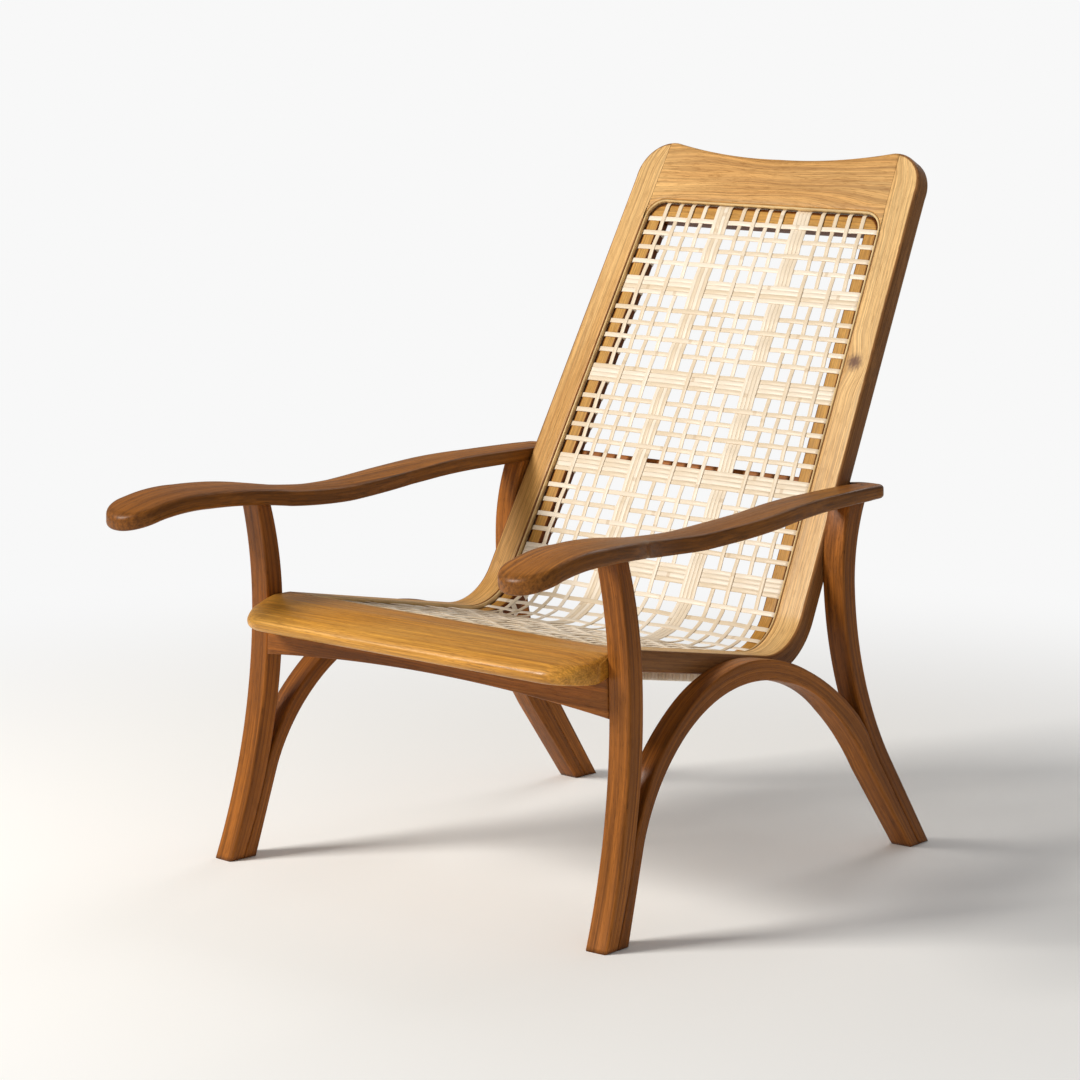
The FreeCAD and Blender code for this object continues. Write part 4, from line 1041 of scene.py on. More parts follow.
@dataclass(frozen=True)
class Bench:
    """The bent face that the sitter rests on: a straight seat, a bend and a straight back.

    A run goes along the face from the front of the seat, and a depth goes under it.

    Attributes:
        stance: how the sides stand, which sets the width.
        front_y: front of the seat.
        front_height: its height there.
        fall: how far the seat falls to the rear.
        rake: how far the back leans from upright.
        corner_y: where the lines of seat and back would meet.
        radius: radius of the bend on the face.
        opening_reach: top of the opening, up the slope of the back from the floor.
    """

    stance: Stance
    front_y: float = 96.0
    front_height: float = 365.0
    fall: float = 10.43
    rake: float = 27.54
    corner_y: float = 454.4
    radius: float = 80.0
    opening_reach: float = 981.5

    @property
    def bend_turn(self) -> float:
        """How far the bend turns, in radians."""
        return math.radians(90.0 - self.rake + self.fall)

    @property
    def tangent_length(self) -> float:
        """From the corner to either end of the bend: the radius times the tangent of half its turn."""
        return self.radius * math.tan(self.bend_turn / 2.0)

    @property
    def seat_length(self) -> float:
        """Length of the straight seat."""
        return (self.corner_y - self.front_y) / turned(self.fall)[0] - self.tangent_length

    @property
    def bend_length(self) -> float:
        """Length of the bend along the face."""
        return self.radius * self.bend_turn

    @property
    def corner_height(self) -> float:
        """Height of the point where the lines of seat and back meet."""
        return self.front_height - (self.corner_y - self.front_y) * math.tan(math.radians(self.fall))

    def run_at_reach(self, reach: Points) -> Points:
        """The run of a reach up the slope of the back."""
        bend_reach = self.corner_height / turned(self.rake)[0] + self.tangent_length
        return self.seat_length + self.bend_length + reach - bend_reach

    @property
    def opening_run(self) -> float:
        """The run of the top of the opening."""
        return self.run_at_reach(self.opening_reach)

    def side_view(self, run: Points, depth: Points) -> tuple[Points, Points]:
        """Depth and height of points of the side view.

        The face's slope turns evenly through the bend, and the depth goes square to the face.
        """
        fall_cosine, fall_sine = turned(self.fall)
        rake_cosine, rake_sine = turned(self.rake)
        turn = np.clip((run - self.seat_length) / self.radius, 0.0, self.bend_turn)
        turn = turn - math.radians(self.fall)
        centre_y = self.front_y + self.seat_length * fall_cosine + self.radius * fall_sine
        centre_height = self.front_height - self.seat_length * fall_sine + self.radius * fall_cosine
        before = np.minimum(run - self.seat_length, 0.0)
        after = np.maximum(run - self.seat_length - self.bend_length, 0.0)
        y = centre_y + (self.radius + depth) * np.sin(turn) + before * fall_cosine + after * rake_sine
        height = centre_height - (self.radius + depth) * np.cos(turn)
        return y, height - before * fall_sine + after * rake_cosine

    def panel(self, x: Points, run: Points, depth: Points) -> Points:
        """Points at a distance across, a run and a depth."""
        y, height = self.side_view(run, depth)
        return np.column_stack([x, self.stance.front_y + y, height])

    def beside(self, side: Side) -> Placing:
        """The placing of a bent piece on one side: offset from the legs' middle plane, run and depth.

        The front end is cut upright, where the piece meets the board.
        """
        def placing(offset: Points, run: Points, depth: Points) -> Points:
            """Carry points of the bent piece to their place."""
            y, height = self.side_view(run, depth)
            x = side.value * self.stance.half_width_at(offset, y, height)
            return np.column_stack([x, self.stance.front_y + np.maximum(y, self.front_y), height])

        return placing

    def half_width_at_run(self, offset: float, run: Points) -> Points:
        """Half the width between the planes at an offset, on the face."""
        return self.stance.half_width_at(offset, *self.side_view(run, 0.0 * run))

    def half_width(self, offset: float, run: float) -> float:
        """The same at one run."""
        return float(self.half_width_at_run(offset, np.array([run]))[0])

    def zone(self, run: float) -> str:
        """Whether a run lies on the seat, in the bend or on the back."""
        if run < self.seat_length:
            return "seat"
        return "bend" if run <= self.seat_length + self.bend_length else "back"

    def offset_at(self, x: Points, reach: Points) -> Points:
        """The offset from the legs' middle plane of a point of the back."""
        run = self.run_at_reach(reach)
        toe_cosine, lean_cosine = turned(self.stance.toe)[0], turned(self.stance.lean)[0]
        return (x - self.half_width_at_run(0.0, run)) * toe_cosine * lean_cosine


@dataclass(frozen=True)
class SeatFrame:
    """The bent side rails, the crest rail between their tops and the cross rail behind the back.

    Attributes:
        bench: the bent face.
        outer: offset of the rails' outer faces from the legs' middle plane.
        inner: offset of their inner faces.
        depth: how thick rails and crest are.
        peak_reach: the crest's highest place, up the slope of the back from the floor.
        peak_half_width: from the chair's middle to that place.
        dip: how far the crest's middle lies under it.
        shoulder_drop: how far the rails' outer faces end under it.
        corner_radius: radius of the opening's upper corners.
        narrowing: how much nearer the middle the crest's ends come for each length up the back.
        cross_reach: lower and upper edge of the cross rail, up the slope of the back.
        cross_depth: its front and rear face under the face of the back.
    """

    bench: Bench
    outer: float = -17.0
    inner: float = -61.0
    depth: float = 28.0
    peak_reach: float = 1071.0
    peak_half_width: float = 194.0
    dip: float = 18.0
    shoulder_drop: float = 57.0
    corner_radius: float = 32.0
    narrowing: float = 0.0539
    cross_reach: tuple[float, float] = (565.0, 593.0)
    cross_depth: tuple[float, float] = (19.0, 41.0)

    def top_line(self) -> tuple[Points, Points]:
        """Half of the chair's top: from its middle out to the peak, and on to the rail's outer face."""
        peak = (self.peak_half_width, self.peak_reach)
        middle = (0.0, self.peak_reach - self.dip)
        reach = self.peak_reach - self.shoulder_drop
        shoulder = (self.bench.half_width(self.outer, self.bench.run_at_reach(reach)), reach)
        crown = arc(middle, part_way(middle, peak, 0.5, 0.2), peak, 60)
        return crown, arc(peak, part_way(peak, shoulder, 0.726, 0.263), shoulder, 60)

    def build_rail(self, side: Side) -> None:
        """Make one side rail, with the round of its shoulder and a fine joint beside the crest."""
        bench = self.bench
        _, shoulder = self.top_line()
        reach = shoulder[::-1, 1]
        offset = bench.offset_at(shoulder[::-1, 0], reach)
        top = joined(np.column_stack([offset, bench.run_at_reach(reach)]))
        top = top[top[:, 0] >= self.inner]
        peak_run = top[-1, 1] + (self.inner - top[-1, 0]) * 0.2
        shoulder_run = top[0, 1]
        runs = np.linspace(0.0, shoulder_run - 4.0, 230)
        round_part = spread(top, 26, 0.0, lengths(top)[-1] * 0.72)
        left = np.vstack([upright_line(self.outer, runs), round_part])
        inner_runs = np.concatenate([runs, np.linspace(shoulder_run, peak_run - 8.0, 25), [peak_run]])
        right = upright_line(self.inner, inner_runs)
        end = spread(joined(spread(top, 40, lengths(top)[-1] * 0.72), [(self.inner, peak_run)]), 8)[1:-1]
        rail = Slab(left, right, 0.0, self.depth, end=end, across=6, bent=True, steps=6)
        radius = rail.radii(4.5, 4.5, 2.5, 0.4)
        loop = rail.loop()
        above_opening = loop[:, 1] > bench.opening_run - self.corner_radius
        radius[above_opening & (np.abs(loop[:, 0] - self.inner) < 0.01)] = 0.2
        rail.rounding = radius
        shape = rail.shape(900.0 if side is Side.LEFT else 3900.0).placed(bench.beside(side))
        make_piece(f"{side.label}_side_rail_wood", shape, Finish.FRAME, f"{side.label}_side_rail")

    def build_crest(self) -> None:
        """Make the crest rail between the opening's top edge and the chair's top line."""
        bench = self.bench
        foot_reach = bench.opening_reach - self.corner_radius
        foot = bench.half_width(self.inner, bench.run_at_reach(foot_reach))
        half_low = joined(quarter_round(foot, foot_reach, self.corner_radius, 14),
                          level_line(foot - self.corner_radius, 0.0, bench.opening_reach, 34))
        top = joined(*self.top_line())
        rail_edge = foot - self.narrowing * (top[:, 1] - foot_reach)
        stops = np.linspace(top[top[:, 0] <= rail_edge][-1, 0], 0.0, len(half_low))
        half_high = np.column_stack([stops, np.interp(stops, top[:, 0], top[:, 1])])
        crest = Slab(both_halves(half_low), both_halves(half_high), 0.0, self.depth, across=8, steps=6)
        crest.rounding = crest.radii(2.5, 0.2, 4.5, 0.2)
        shape = crest.shape(5200.0).placed(
            lambda x, reach, depth: bench.panel(x, bench.run_at_reach(reach), depth))
        make_piece("crest_rail_wood", shape, Finish.CREST, "crest_rail")

    def build_cross_rail(self) -> None:
        """Make the straight rail behind the back."""
        runs = self.bench.run_at_reach(np.array(self.cross_reach))
        halves = self.bench.half_width_at_run(self.inner, runs)
        low, high = (level_line(-half, half, run, 60) for half, run in zip(halves, runs))
        rail = Slab(low, high, *self.cross_depth, 2.5, across=4)
        shape = rail.shape(6100.0).placed(self.bench.panel)
        make_piece("back_cross_rail_wood", shape, Finish.LEG, "back_cross_rail")

    def build(self) -> None:
        """Make all four rails."""
        for side in Side:
            self.build_rail(side)
        self.build_crest()
        self.build_cross_rail()


@dataclass(frozen=True)
class FrontEdge:
    """The broad front board with its rounded nose, and the arched apron under it.

    Attributes:
        stance: how the sides stand.
        rear_y: rear edge of the board.
        flat_y: where its flat underside ends and the nose begins.
        nose_y: front of the nose.
        top: height of its top.
        depth: how thick it is.
        corner_radius: radius of its front corners, seen from above.
        corner_limit: share of that radius at which a corner's quarter circle is broken off.
        offset: offset of its ends from the legs' middle plane.
        apron_y: front and rear face of the apron.
    """

    stance: Stance
    rear_y: float = 96.0
    flat_y: float = 53.0
    nose_y: float = -11.0
    top: float = 365.0
    depth: float = 26.0
    corner_radius: float = 60.0
    corner_limit: float = 0.985
    offset: float = -17.0
    apron_y: tuple[float, float] = (59.0, 81.0)

    def section(self) -> Points:
        """The board's section, round from the top's rear edge over the nose and back under."""
        shares = [(0.0, 0.0), (0.33, 0.135), (0.67, 0.346), (0.89, 0.577), (1.0, 0.923), (0.95, 1.23),
                  (0.83, 1.385), (0.44, 1.25), (0.0, 1.0)]
        nose = arcs_through([(self.flat_y - share * (self.flat_y - self.nose_y), self.top - drop * self.depth)
                             for share, drop in shares])
        bottom = self.top - self.depth
        top = [(self.rear_y, self.top - 1.5), (self.rear_y - 1.5, self.top)]
        return joined(top, spread(np.array([top[1], nose[0]]), 9), spread(nose, 44),
                      spread(np.array([nose[-1], (self.rear_y, bottom)]), 8))

    def build_board(self) -> None:
        """Make the board: its section carried across, its nose drawn back round the two front corners."""
        section = self.section()
        count = 121
        share = np.sin(np.linspace(-0.5, 0.5, count) * math.pi)
        edge = float(self.stance.half_width_at(self.offset, self.nose_y + self.corner_radius, self.top))
        beyond = (np.abs(share) * edge - (edge - self.corner_radius)) / self.corner_radius
        beyond = np.clip(beyond, 0.0, self.corner_limit)
        front = self.nose_y + self.corner_radius * (1.0 - np.sqrt(1.0 - beyond ** 2))
        scale = (self.rear_y - front) / (self.rear_y - self.nose_y)
        y = self.rear_y - (self.rear_y - section[None, :, 0]) * scale[:, None]
        height = np.broadcast_to(section[None, :, 1], y.shape)
        ease = np.clip((np.abs(share) - 0.985) / 0.015, 0.0, 1.0)[:, None]
        middle = self.top - self.depth / 2.0
        height = middle + (height - middle) * (1.0 - 0.10 * ease ** 2)
        x = share[:, None] * self.stance.half_width_at(self.offset, y, height)
        size = section.shape[0]
        points = np.stack([x, y, height], axis=-1).reshape(-1, 3)
        number = np.arange(count * size).reshape(count, size)
        rungs = np.arange(size // 2 - 1)
        ladder = np.stack([rungs, rungs + 1, size - 2 - rungs, size - 1 - rungs], axis=-1)
        faces = np.vstack([walls_between(number), ladder[:, ::-1], ladder + (count - 1) * size])
        grain = points + np.array([7000.0, 40.0, 0.0])
        nose = np.clip((section[:, 0] - self.flat_y) / (self.nose_y - self.flat_y), 0.0, 1.0)
        shape = Shape(points, faces, grain, np.tile(nose * 0.5, count), np.zeros(len(points)))
        board = shape.placed(lambda x, y, z: np.column_stack([x, self.stance.front_y + y, z]))
        make_piece("front_board_wood", board, Finish.BOARD, "front_seat_rail")

    def build_apron(self) -> None:
        """Make the apron: level above, arched below."""
        bottom = self.top - self.depth
        share = np.linspace(-1.0, 1.0, 90)
        middle_y = sum(self.apron_y) / 2.0
        half = self.stance.half_width_at(self.offset, middle_y, bottom)
        low = share * self.stance.half_width_at(self.offset, middle_y, bottom - 60.0)
        under = arc((-337.0, 279.0), (0.0, 298.0), (337.0, 279.0), 90)
        low = np.column_stack([low, np.interp(low, under[:, 0], under[:, 1])])
        apron = Slab(low, level_line(-half, half, bottom, 90), *self.apron_y, 2.0, across=4)
        shape = apron.shape(7900.0).placed(lambda x, z, y: np.column_stack([x, self.stance.front_y + y, z]))
        make_piece("front_apron_wood", shape, Finish.LEG, "front_apron")

    def build(self) -> None:
        """Make the board and the apron."""
        self.build_board()
        self.build_apron()


@dataclass(frozen=True)
class WeavingFrame:
    """The four bars inside the opening that carry the cane, and the bead that hides their joint.

    Attributes:
        bench: the bent face.
        edge: offset of the opening's sides from the legs' middle plane.
        bead_width: width of the bead, round the opening.
        bead_top: its depth under the face.
        bead_bottom: depth of its underside.
        bar_width: width of the bars.
        bar_top: depth of their upper face.
        bar_depth: how thick they are in the back.
        seat_bar_depth: how thick they are in the seat.
        corner_radius: radius of the opening's upper corners.
    """

    bench: Bench
    edge: float = -61.0
    bead_width: float = 4.0
    bead_top: float = 0.5
    bead_bottom: float = 7.0
    bar_width: float = 25.0
    bar_top: float = 5.0
    bar_depth: float = 20.0
    seat_bar_depth: float = 37.0
    corner_radius: float = 32.0

    @property
    def inside(self) -> float:
        """Offset of the bead's inner face, where bars and cane begin."""
        return self.edge - self.bead_width

    @property
    def corner_run(self) -> float:
        """The run at which the opening's upper corners begin."""
        return self.bench.opening_run - self.corner_radius

    def thickness(self, run: Points) -> Points:
        """How thick the side bars are at a run: the seat's thickness eases into the back's in the bend."""
        deep = 1.0 - smooth_step((run - self.bench.seat_length) / self.bench.bend_length)
        return self.bar_depth + deep * (self.seat_bar_depth - self.bar_depth)

    def build_bar(self, side: Side) -> None:
        """Make one side bar, which is deeper under the seat than in the back."""
        runs = np.linspace(self.bead_width + self.bar_width, self.corner_run, 170)
        edges = [upright_line(offset, runs) for offset in (self.inside, self.inside - self.bar_width)]
        bar = Slab(*edges, 0.0, self.bar_depth, across=3, bent=True)
        bar.rounding = bar.radii(6.0, 0.3, 3.0, 0.3)
        beside = self.bench.beside(side)

        def place(offset: Points, run: Points, level: Points) -> Points:
            """Carry points of the bar to their place, as deep as the bar is there."""
            return beside(offset, run, self.bar_top + level * self.thickness(run) / self.bar_depth)

        shape = bar.shape(9100.0 + 900.0 * side.value).placed(place)
        make_piece(f"{side.label}_weaving_bar_wood", shape, Finish.BAR, f"{side.label}_weaving_bar")

    def build_top_bar(self) -> None:
        """Make the bar across the opening's top, with its rounded corners."""
        radius = self.corner_radius - self.bead_width
        foot = self.bench.half_width(self.inside, self.corner_run)
        top = level_line(foot - radius, 0.0, self.bench.opening_run - self.bead_width, 30)
        upper = both_halves(joined(quarter_round(foot, self.corner_run, radius, 12), top))
        lower = level_line(foot - 2.0, 2.0 - foot, self.corner_run, len(upper))
        bar = Slab(upper, lower, self.bar_top, self.bar_top + self.bar_depth, across=3)
        bar.rounding = bar.radii(6.0, 0.3, 2.0, 0.3)
        make_piece("top_weaving_bar_wood", bar.shape(9900.0).placed(self.bench.panel), Finish.BAR,
                   "top_weaving_bar")

    def build_front_bar(self) -> None:
        """Make the bar across the seat's front."""
        runs = (self.bead_width, self.bead_width + self.bar_width)
        halves = [self.bench.half_width(self.inside, run) for run in runs]
        edges = [level_line(-half, half, run, 60) for half, run in zip(halves, runs)]
        bar = Slab(*edges, self.bar_top, self.bar_top + self.seat_bar_depth, across=3)
        bar.rounding = bar.radii(5.0, 0.3, 2.5, 0.3)
        make_piece("front_weaving_bar_wood", bar.shape(8700.0).placed(self.bench.panel), Finish.BAR,
                   "front_weaving_bar")

    def opening(self) -> Points:
        """The closed edge of the opening, as distance across and run."""
        runs = np.linspace(0.0, self.corner_run, 260)
        sides = self.bench.half_width_at_run(self.edge, runs)
        corner = quarter_round(sides[-1], self.corner_run, self.corner_radius, 16)[1:]
        top = level_line(sides[-1] - self.corner_radius, 0.0, self.bench.opening_run, 50)[1:]
        around = both_halves(np.vstack([np.column_stack([sides, runs]), corner, top]))
        return np.vstack([around, level_line(-sides[0], sides[0], 0.0, 90)[1:-1]])

    def build_bead(self) -> None:
        """Make the bead: a strip with a round top carried right round the opening's edge."""
        loop = self.opening()
        inner = self.bead_width
        turn = np.linspace(0.0, math.pi, 7)
        section = np.column_stack([inner / 2.0 - (inner / 2.0 - 0.15) * np.cos(turn),
                                   self.bead_top + 1.5 - 1.9 * np.sin(turn)])
        section = np.vstack([section, [(inner - 0.15, self.bead_bottom), (0.15, self.bead_bottom)]])
        rings = [drawn_in(loop, np.full(len(loop), inset)) for inset, _ in section]
        points = np.stack([np.column_stack([ring, np.full(len(loop), depth)])
                           for ring, (_, depth) in zip(rings, section)], axis=1)
        count, size = points.shape[:2]
        number = np.arange(count * size).reshape(count, size)
        faces = walls_between(np.vstack([number, number[:1]]))
        none = np.zeros(count * size)
        grain = np.column_stack([np.repeat(lengths(loop), size), np.tile(section[:, 0], count), none])
        shape = Shape(points.reshape(-1, 3), faces, grain, none, none)
        make_piece("border_bead_strip", shape.placed(self.bench.panel), Finish.BEAD, "border_bead")

    def build(self) -> None:
        """Make the bars and the bead."""
        for side in Side:
            self.build_bar(side)
        self.build_top_bar()
        self.build_front_bar()
        self.build_bead()


@dataclass(frozen=True)
class CanePanel:
    """The woven panel: every strand on its own, over and under in turn.

    Attributes:
        bars: the weaving frame that carries the panel.
        narrow: width of a single strand.
        band: width of a wide band.
        band_strands: strands in a wide band.
        thick: thickness of a strand.
        middle_depth: depth of the weave's middle.
        sway: how far a strand lies over or under that.
        group: single strands between two wide bands.
        weft_count: crosswise rows, bands included.
        first_weft: from the opening's top to the first row.
        weft_pitch: from row to row.
        wide_weft_pitch: from row to row beside a band.
        warp_pitch: from column to column.
        wide_warp_pitch: from column to column beside a band.
        hoop_pitch: from strand to strand where they are wound round the side bars.
        end_length: how near the bead a strand begins to sink.
        end_drop: how far it sinks.
    """

    bars: WeavingFrame
    narrow: float = 7.0
    band: float = 27.0
    band_strands: int = 4
    thick: float = 1.0
    middle_depth: float = 4.0
    sway: float = 0.5
    group: int = 4
    weft_count: int = 35
    first_weft: float = 30.0
    weft_pitch: float = 22.4
    wide_weft_pitch: float = 36.4
    warp_pitch: float = 23.3
    wide_warp_pitch: float = 35.4
    hoop_pitch: float = 7.6
    end_length: float = 7.0
    end_drop: float = 4.2

    @property
    def bench(self) -> Bench:
        """The bent face that the panel follows."""
        return self.bars.bench

    def weft_rows(self) -> tuple[Points, Points]:
        """Runs of the rows, from the top of the opening down, and whether each is a band."""
        wide = np.arange(self.weft_count) % (self.group + 1) == self.group
        step = np.where(wide[1:] | wide[:-1], self.wide_weft_pitch, self.weft_pitch)
        return self.bench.opening_run - self.first_weft - np.append(0.0, np.cumsum(step)), wide

    def warp_columns(self) -> tuple[Points, Points]:
        """Places of the columns at the opening's top, in shares of its half width, and which are bands."""
        half = [self.warp_pitch * 0.5, self.warp_pitch * 1.5]
        half.append(half[-1] + self.wide_warp_pitch)
        half += [half[-1] + self.wide_warp_pitch + self.warp_pitch * k for k in range(4)]
        out = np.array(half)
        wide = np.array([False, False, True, False, False, False, False])
        level = self.bench.half_width(self.bars.inside, self.bench.opening_run)
        return np.append(-out[::-1], out) / level, np.append(wide[::-1], wide)

    def heights(self, stops: Points, wide: Points, over: Points, at: Points) -> Points:
        """Depth of a strand along its length.

        It lies flat across each crossing and eases from one side of the weave to the other between them.

        Args:
            stops: places of the crossings, rising.
            wide: which of them are bands.
            over: which of them this strand passes over.
            at: the places to give the depth of.

        Returns:
            The depth of the strand's underside.
        """
        flat = np.where(wide, self.band, self.narrow) / 2.0
        knots = np.column_stack([stops - flat, stops + flat]).ravel()
        level = np.repeat(np.where(over, -self.sway, self.sway), 2)
        index = np.clip(np.searchsorted(knots, at) - 1, 0, len(knots) - 2)
        share = smooth_step((at - knots[index]) / (knots[index + 1] - knots[index]))
        swing = level[index] + (level[index + 1] - level[index]) * share
        return self.middle_depth + swing + self.thick / 2.0

    def sunk_end(self, distance: Points) -> Points:
        """How much deeper a strand lies near the bead: a quarter circle down over the bar's edge."""
        share = np.clip(1.0 - distance / self.end_length, 0.0, 1.0)
        return self.end_drop * (1.0 - np.sqrt(1.0 - 0.96 * share ** 2))

    def offsets(self, wide: bool) -> Points:
        """Places of the single strands of a row or column about its middle."""
        if not wide:
            return np.zeros(1)
        pitch = self.band / self.band_strands
        return (np.arange(self.band_strands) - (self.band_strands - 1) / 2.0) * pitch

    def strand(self, line: Points, across: Points, up: Points, wide: bool,
               random: np.random.Generator) -> Shape:
        """One strand with a shade of its own: a single one, or a slimmer one of a band."""
        width = self.band / self.band_strands - 0.05 if wide else self.narrow
        return strand_shape(line, across, up, width, self.thick, float(random.random()))

    def warps(self) -> dict[str, list[Shape]]:
        """The lengthwise strands, single ones and bands apart."""
        bench = self.bench
        rows, wide_rows = self.weft_rows()
        runs = np.linspace(4.5, bench.opening_run - 3.5, 330)
        half = bench.half_width_at_run(self.bars.inside, runs)
        made = {"single": [], "band": []}
        random = np.random.default_rng(7)
        for column, (share, wide) in enumerate(zip(*self.warp_columns())):
            over = (column + np.arange(len(rows))) % 2 == 0
            depth = self.heights(rows[::-1], wide_rows[::-1], over[::-1], runs)
            depth = depth + self.sunk_end(np.minimum(runs - 4.0, bench.opening_run - 4.0 - runs))
            for offset in self.offsets(wide):
                x = share * half + offset
                line = bench.panel(x, runs, depth)
                up = bench.panel(x, runs, depth - 1.0) - line
                across = unit(np.cross(np.gradient(line, axis=0), up))
                made["band" if wide else "single"].append(self.strand(line, across, up, wide, random))
        return made

    def wefts(self) -> dict[str, list[Shape]]:
        """The crosswise strands of the back, the bend and the seat."""
        bench = self.bench
        shares, wide_columns = self.warp_columns()
        made = {"back": [], "bend": [], "seat": []}
        random = np.random.default_rng(11)
        for row, (run, wide) in enumerate(zip(*self.weft_rows())):
            over = (np.arange(len(shares)) + row) % 2 == 1
            for offset in self.offsets(wide):
                half = bench.half_width(self.bars.inside, run + offset)
                x = np.linspace(-half - 0.5, half + 0.5, 150)
                depth = self.heights(shares * half, wide_columns, over, x) + self.sunk_end(half - np.abs(x))
                runs = np.full(len(x), run + offset)
                line = bench.panel(x, runs, depth)
                up = bench.panel(x, runs, depth - 1.0) - line
                across = unit(bench.panel(x, runs + 0.5, depth) - bench.panel(x, runs - 0.5, depth))
                made[bench.zone(run)].append(self.strand(line, across, up, wide, random))
        return made

    def hoop(self, side: Side, run: float, slant: float, random: np.random.Generator) -> Shape:
        """A strand wound round a side bar: down its outer face, under it and up its inner face.

        Args:
            side: which bar.
            run: where the strand starts.
            slant: how far along the bar it has moved when it comes up again.
            random: what its shade is drawn from.

        Returns:
            The strand, in the model.
        """
        outer, inner = self.bars.inside, self.bars.inside - self.bars.bar_width
        start = self.bars.bar_top + 5.0
        bottom = self.bars.bar_top + float(self.bars.thickness(run))
        corners = [(outer, start), (outer, bottom - 3.0), (outer - 0.9, bottom - 0.9), (outer - 3.0, bottom),
                   (inner + 3.0, bottom), (inner + 0.9, bottom - 0.9), (inner, bottom - 3.0), (inner, start)]
        path = spread(np.array(corners), 34)
        offset, depth = path.T
        along_offset, along_depth = unit(np.gradient(path, axis=0)).T
        runs = run + slant * (lengths(path) / lengths(path)[-1])
        beside = self.bench.beside(side)
        middle = beside(offset, runs, depth)
        line = beside(offset - 0.05 * along_depth, runs, depth + 0.05 * along_offset)
        up = beside(offset + along_depth, runs, depth - along_offset) - middle
        across = beside(offset, runs + 1.0, depth) - middle
        return self.strand(line, across, up, False, random)

    def hoops(self) -> dict[str, list[Shape]]:
        """The strands wound round the side bars: close together under the seat, one for each row above."""
        random = np.random.default_rng(5)
        made = {"back": [], "bend": [], "seat": []}
        first, last = self.bars.bar_width + 12.0, self.bench.seat_length - 8.0
        for side in Side:
            made["seat"] += [self.hoop(side, run, 9.0, random)
                             for run in np.arange(first, last, self.hoop_pitch)]
            for row, wide in zip(*self.weft_rows()):
                zone = self.bench.zone(row)
                if zone != "seat":
                    made[zone] += [self.hoop(side, row + offset, 4.0, random)
                                   for offset in self.offsets(wide)]
        return made

    def build(self) -> None:
        """Make the woven panel, a piece for each of the model's cane nodes."""
        warps = self.warps()
        self.make("cane_single_warps", warps["single"], "cane_narrow_warps")
        self.make("cane_band_warps", warps["band"], "cane_wide_warps")
        hoops = self.hoops()
        for zone, strands in self.wefts().items():
            self.make(f"cane_{zone}_rows", strands + hoops[zone], f"cane_{zone}_wefts")

    @staticmethod
    def make(name: str, strands: list[Shape], node: str) -> None:
        """Make one piece from strands that are already in place."""
        shape = together(strands).placed(lambda x, y, z: np.column_stack([x, y, z]))
        make_piece(name, shape, Finish.CANE, node)


@dataclass(frozen=True)
class Pegs:
    """The dowels and pins inside the joints, which stay as the model has them."""

    def build(self) -> None:
        """Give the pegs their wood."""
        for name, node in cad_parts.items():
            if "dowels" in name or "pins" in name:
                node.data.materials.clear()
                node.data.materials.append(Finish.PEG.material())


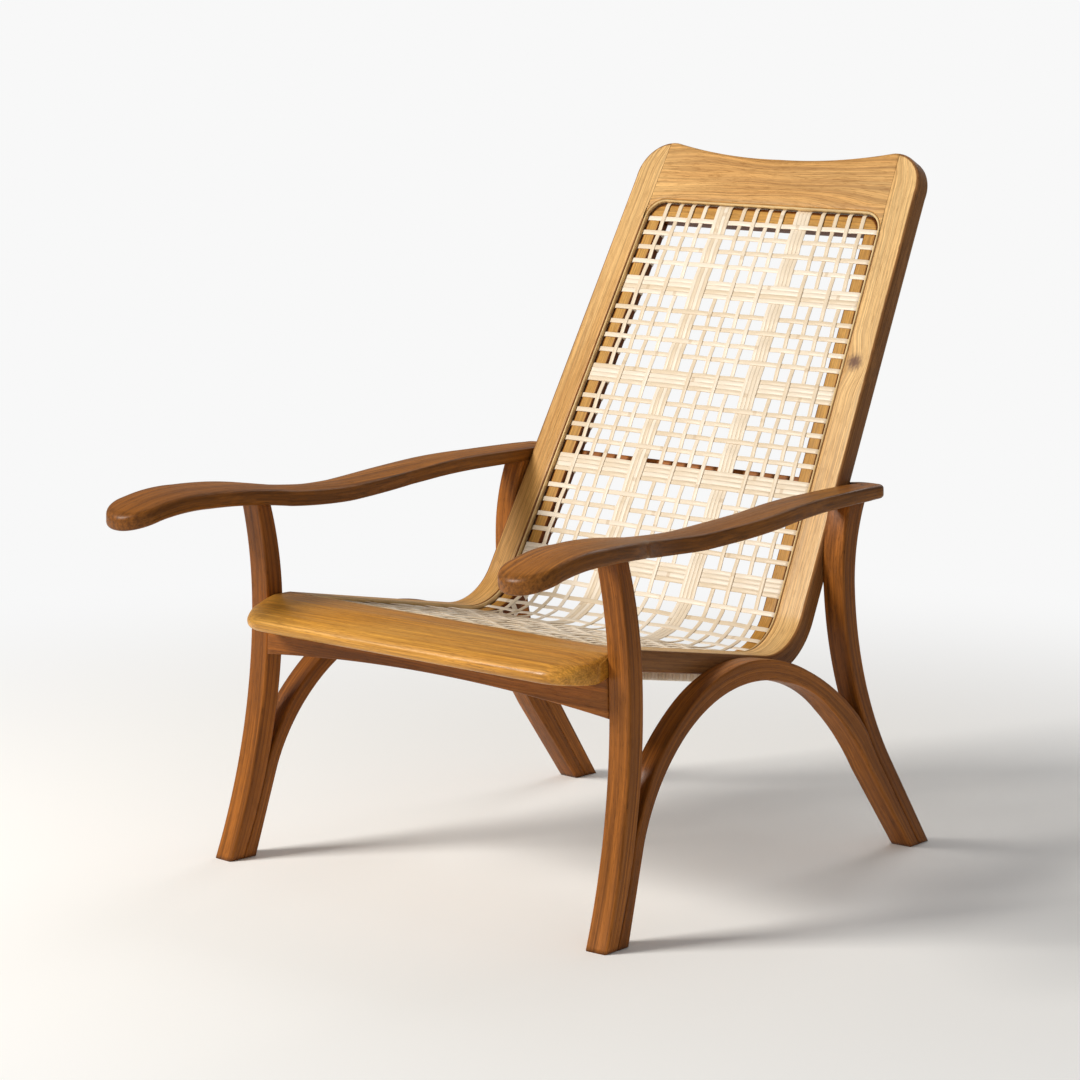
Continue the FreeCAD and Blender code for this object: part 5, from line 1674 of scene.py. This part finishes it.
@dataclass(frozen=True)
class Studio:
    """A plain pale floor, soft lamps and the camera.

    Attributes:
        place: where the camera stands, in millimetres in the model.
        azimuth: how far it is turned about the upright.
        pitch: how far it looks down.
        lens: focal length.
        sensor: width of the camera's sensor.
        backdrop: the colour behind the chair.
        floor_radius: radius of the floor, in metres.
        floor_corners: corners of its rim.
    """

    place: tuple[float, float, float] = (3064.1, -3476.6, 1225.8)
    azimuth: float = 41.803
    pitch: float = 9.613
    lens: float = 115.95
    sensor: float = 36.0
    backdrop: Colour = (248, 248, 248)
    floor_radius: float = 14.0
    floor_corners: int = 96

    def build_camera(self) -> None:
        """Set the camera where the photograph was taken from."""
        data = bpy.data.cameras.new("camera")
        data.lens = self.lens
        data.sensor_width = self.sensor
        data.clip_start = 0.05
        data.clip_end = 60.0
        camera = add_object("camera", data)
        turn_cosine, turn_sine = turned(self.azimuth)
        pitch_cosine, pitch_sine = turned(self.pitch)
        ahead = Vector((-turn_sine * pitch_cosine, turn_cosine * pitch_cosine, -pitch_sine))
        camera.location = Vector(self.place) * MM
        camera.rotation_euler = ahead.to_track_quat("-Z", "Y").to_euler()
        bpy.context.scene.camera = camera

    def build_floor(self) -> None:
        """Lay a wide round floor that fades into the backdrop towards its rim."""
        turn = np.linspace(0.0, 2.0 * math.pi, self.floor_corners + 1)[:-1]
        rim = np.column_stack([np.cos(turn), np.sin(turn), 0.0 * turn]) * self.floor_radius
        mesh = bpy.data.meshes.new("floor")
        mesh.from_pydata(rim.tolist(), [], [list(range(self.floor_corners))])
        floor = add_object("floor", mesh)
        material, work, shader = new_material("pale_floor")
        shader.inputs["Base Color"].default_value = linear(self.backdrop)
        shader.inputs["Roughness"].default_value = 0.9
        shader.inputs["Specular IOR Level"].default_value = 0.1
        glow = work.add("ShaderNodeEmission")
        glow.inputs["Color"].default_value = linear(self.backdrop)
        away = work.vector("LENGTH", work.add("ShaderNodeTexCoord").outputs["Object"])
        seen = work.add("ShaderNodeLightPath").outputs["Is Camera Ray"]
        share = work.times(work.between(away, 0.7, 2.2), seen)
        work.blend(share, shader, glow, material.node_tree.nodes["Material Output"].inputs["Surface"])
        mesh.materials.append(material)

    def build_world(self) -> None:
        """A plain even sky that the camera and reflections see as the backdrop."""
        world = bpy.data.worlds.new("studio")
        world.use_nodes = True
        bpy.context.scene.world = world
        work = Nodes(world.node_tree)
        sky = world.node_tree.nodes["Background"]
        sky.inputs["Color"].default_value = (1.0, 0.99, 0.97, 1.0)
        sky.inputs["Strength"].default_value = 0.26
        plain = work.add("ShaderNodeBackground")
        plain.inputs["Color"].default_value = linear(self.backdrop)
        path = work.add("ShaderNodeLightPath")
        seen = work.math("MAXIMUM", path.outputs["Is Camera Ray"], path.outputs["Is Transmission Ray"])
        work.blend(seen, sky, plain, world.node_tree.nodes["World Output"].inputs["Surface"])

    def build_lamp(self, name: str, place: tuple, size: float, power: float, tone: tuple) -> None:
        """Hang one square lamp that faces the chair, with its place and size in metres."""
        data = bpy.data.lights.new(name, "AREA")
        data.size = size
        data.energy = power
        data.color = tone
        lamp = add_object(name, data)
        lamp.location = place
        lamp.rotation_euler = (Vector((0.0, 0.1, 0.4)) - Vector(place)).to_track_quat("-Z", "Y").to_euler()

    def build(self) -> None:
        """Set up the whole studio."""
        scene = bpy.context.scene
        scene.view_settings.view_transform = "Standard"
        self.build_camera()
        self.build_floor()
        self.build_world()
        self.build_lamp("key_lamp", (-2.2, -3.2, 2.9), 1.5, 215.0, (1.0, 0.96, 0.89))
        self.build_lamp("fill_lamp", (3.6, -1.6, 2.0), 2.6, 6.0, (1.0, 0.97, 0.93))
        self.build_lamp("rear_lamp", (-0.6, 3.4, 3.2), 2.2, 34.0, (1.0, 1.0, 1.0))


def main() -> None:
    """Dress the chair and set up the studio."""
    logging.basicConfig(level=logging.INFO, format="%(name)s: %(message)s")
    stance = Stance()
    bench = Bench(stance)
    for side in Side:
        SideFrame(stance, side).build()
    SeatFrame(bench).build()
    FrontEdge(stance).build()
    bars = WeavingFrame(bench)
    bars.build()
    CanePanel(bars).build()
    Pegs().build()
    Studio().build()


if __name__ == "__main__":
    main()
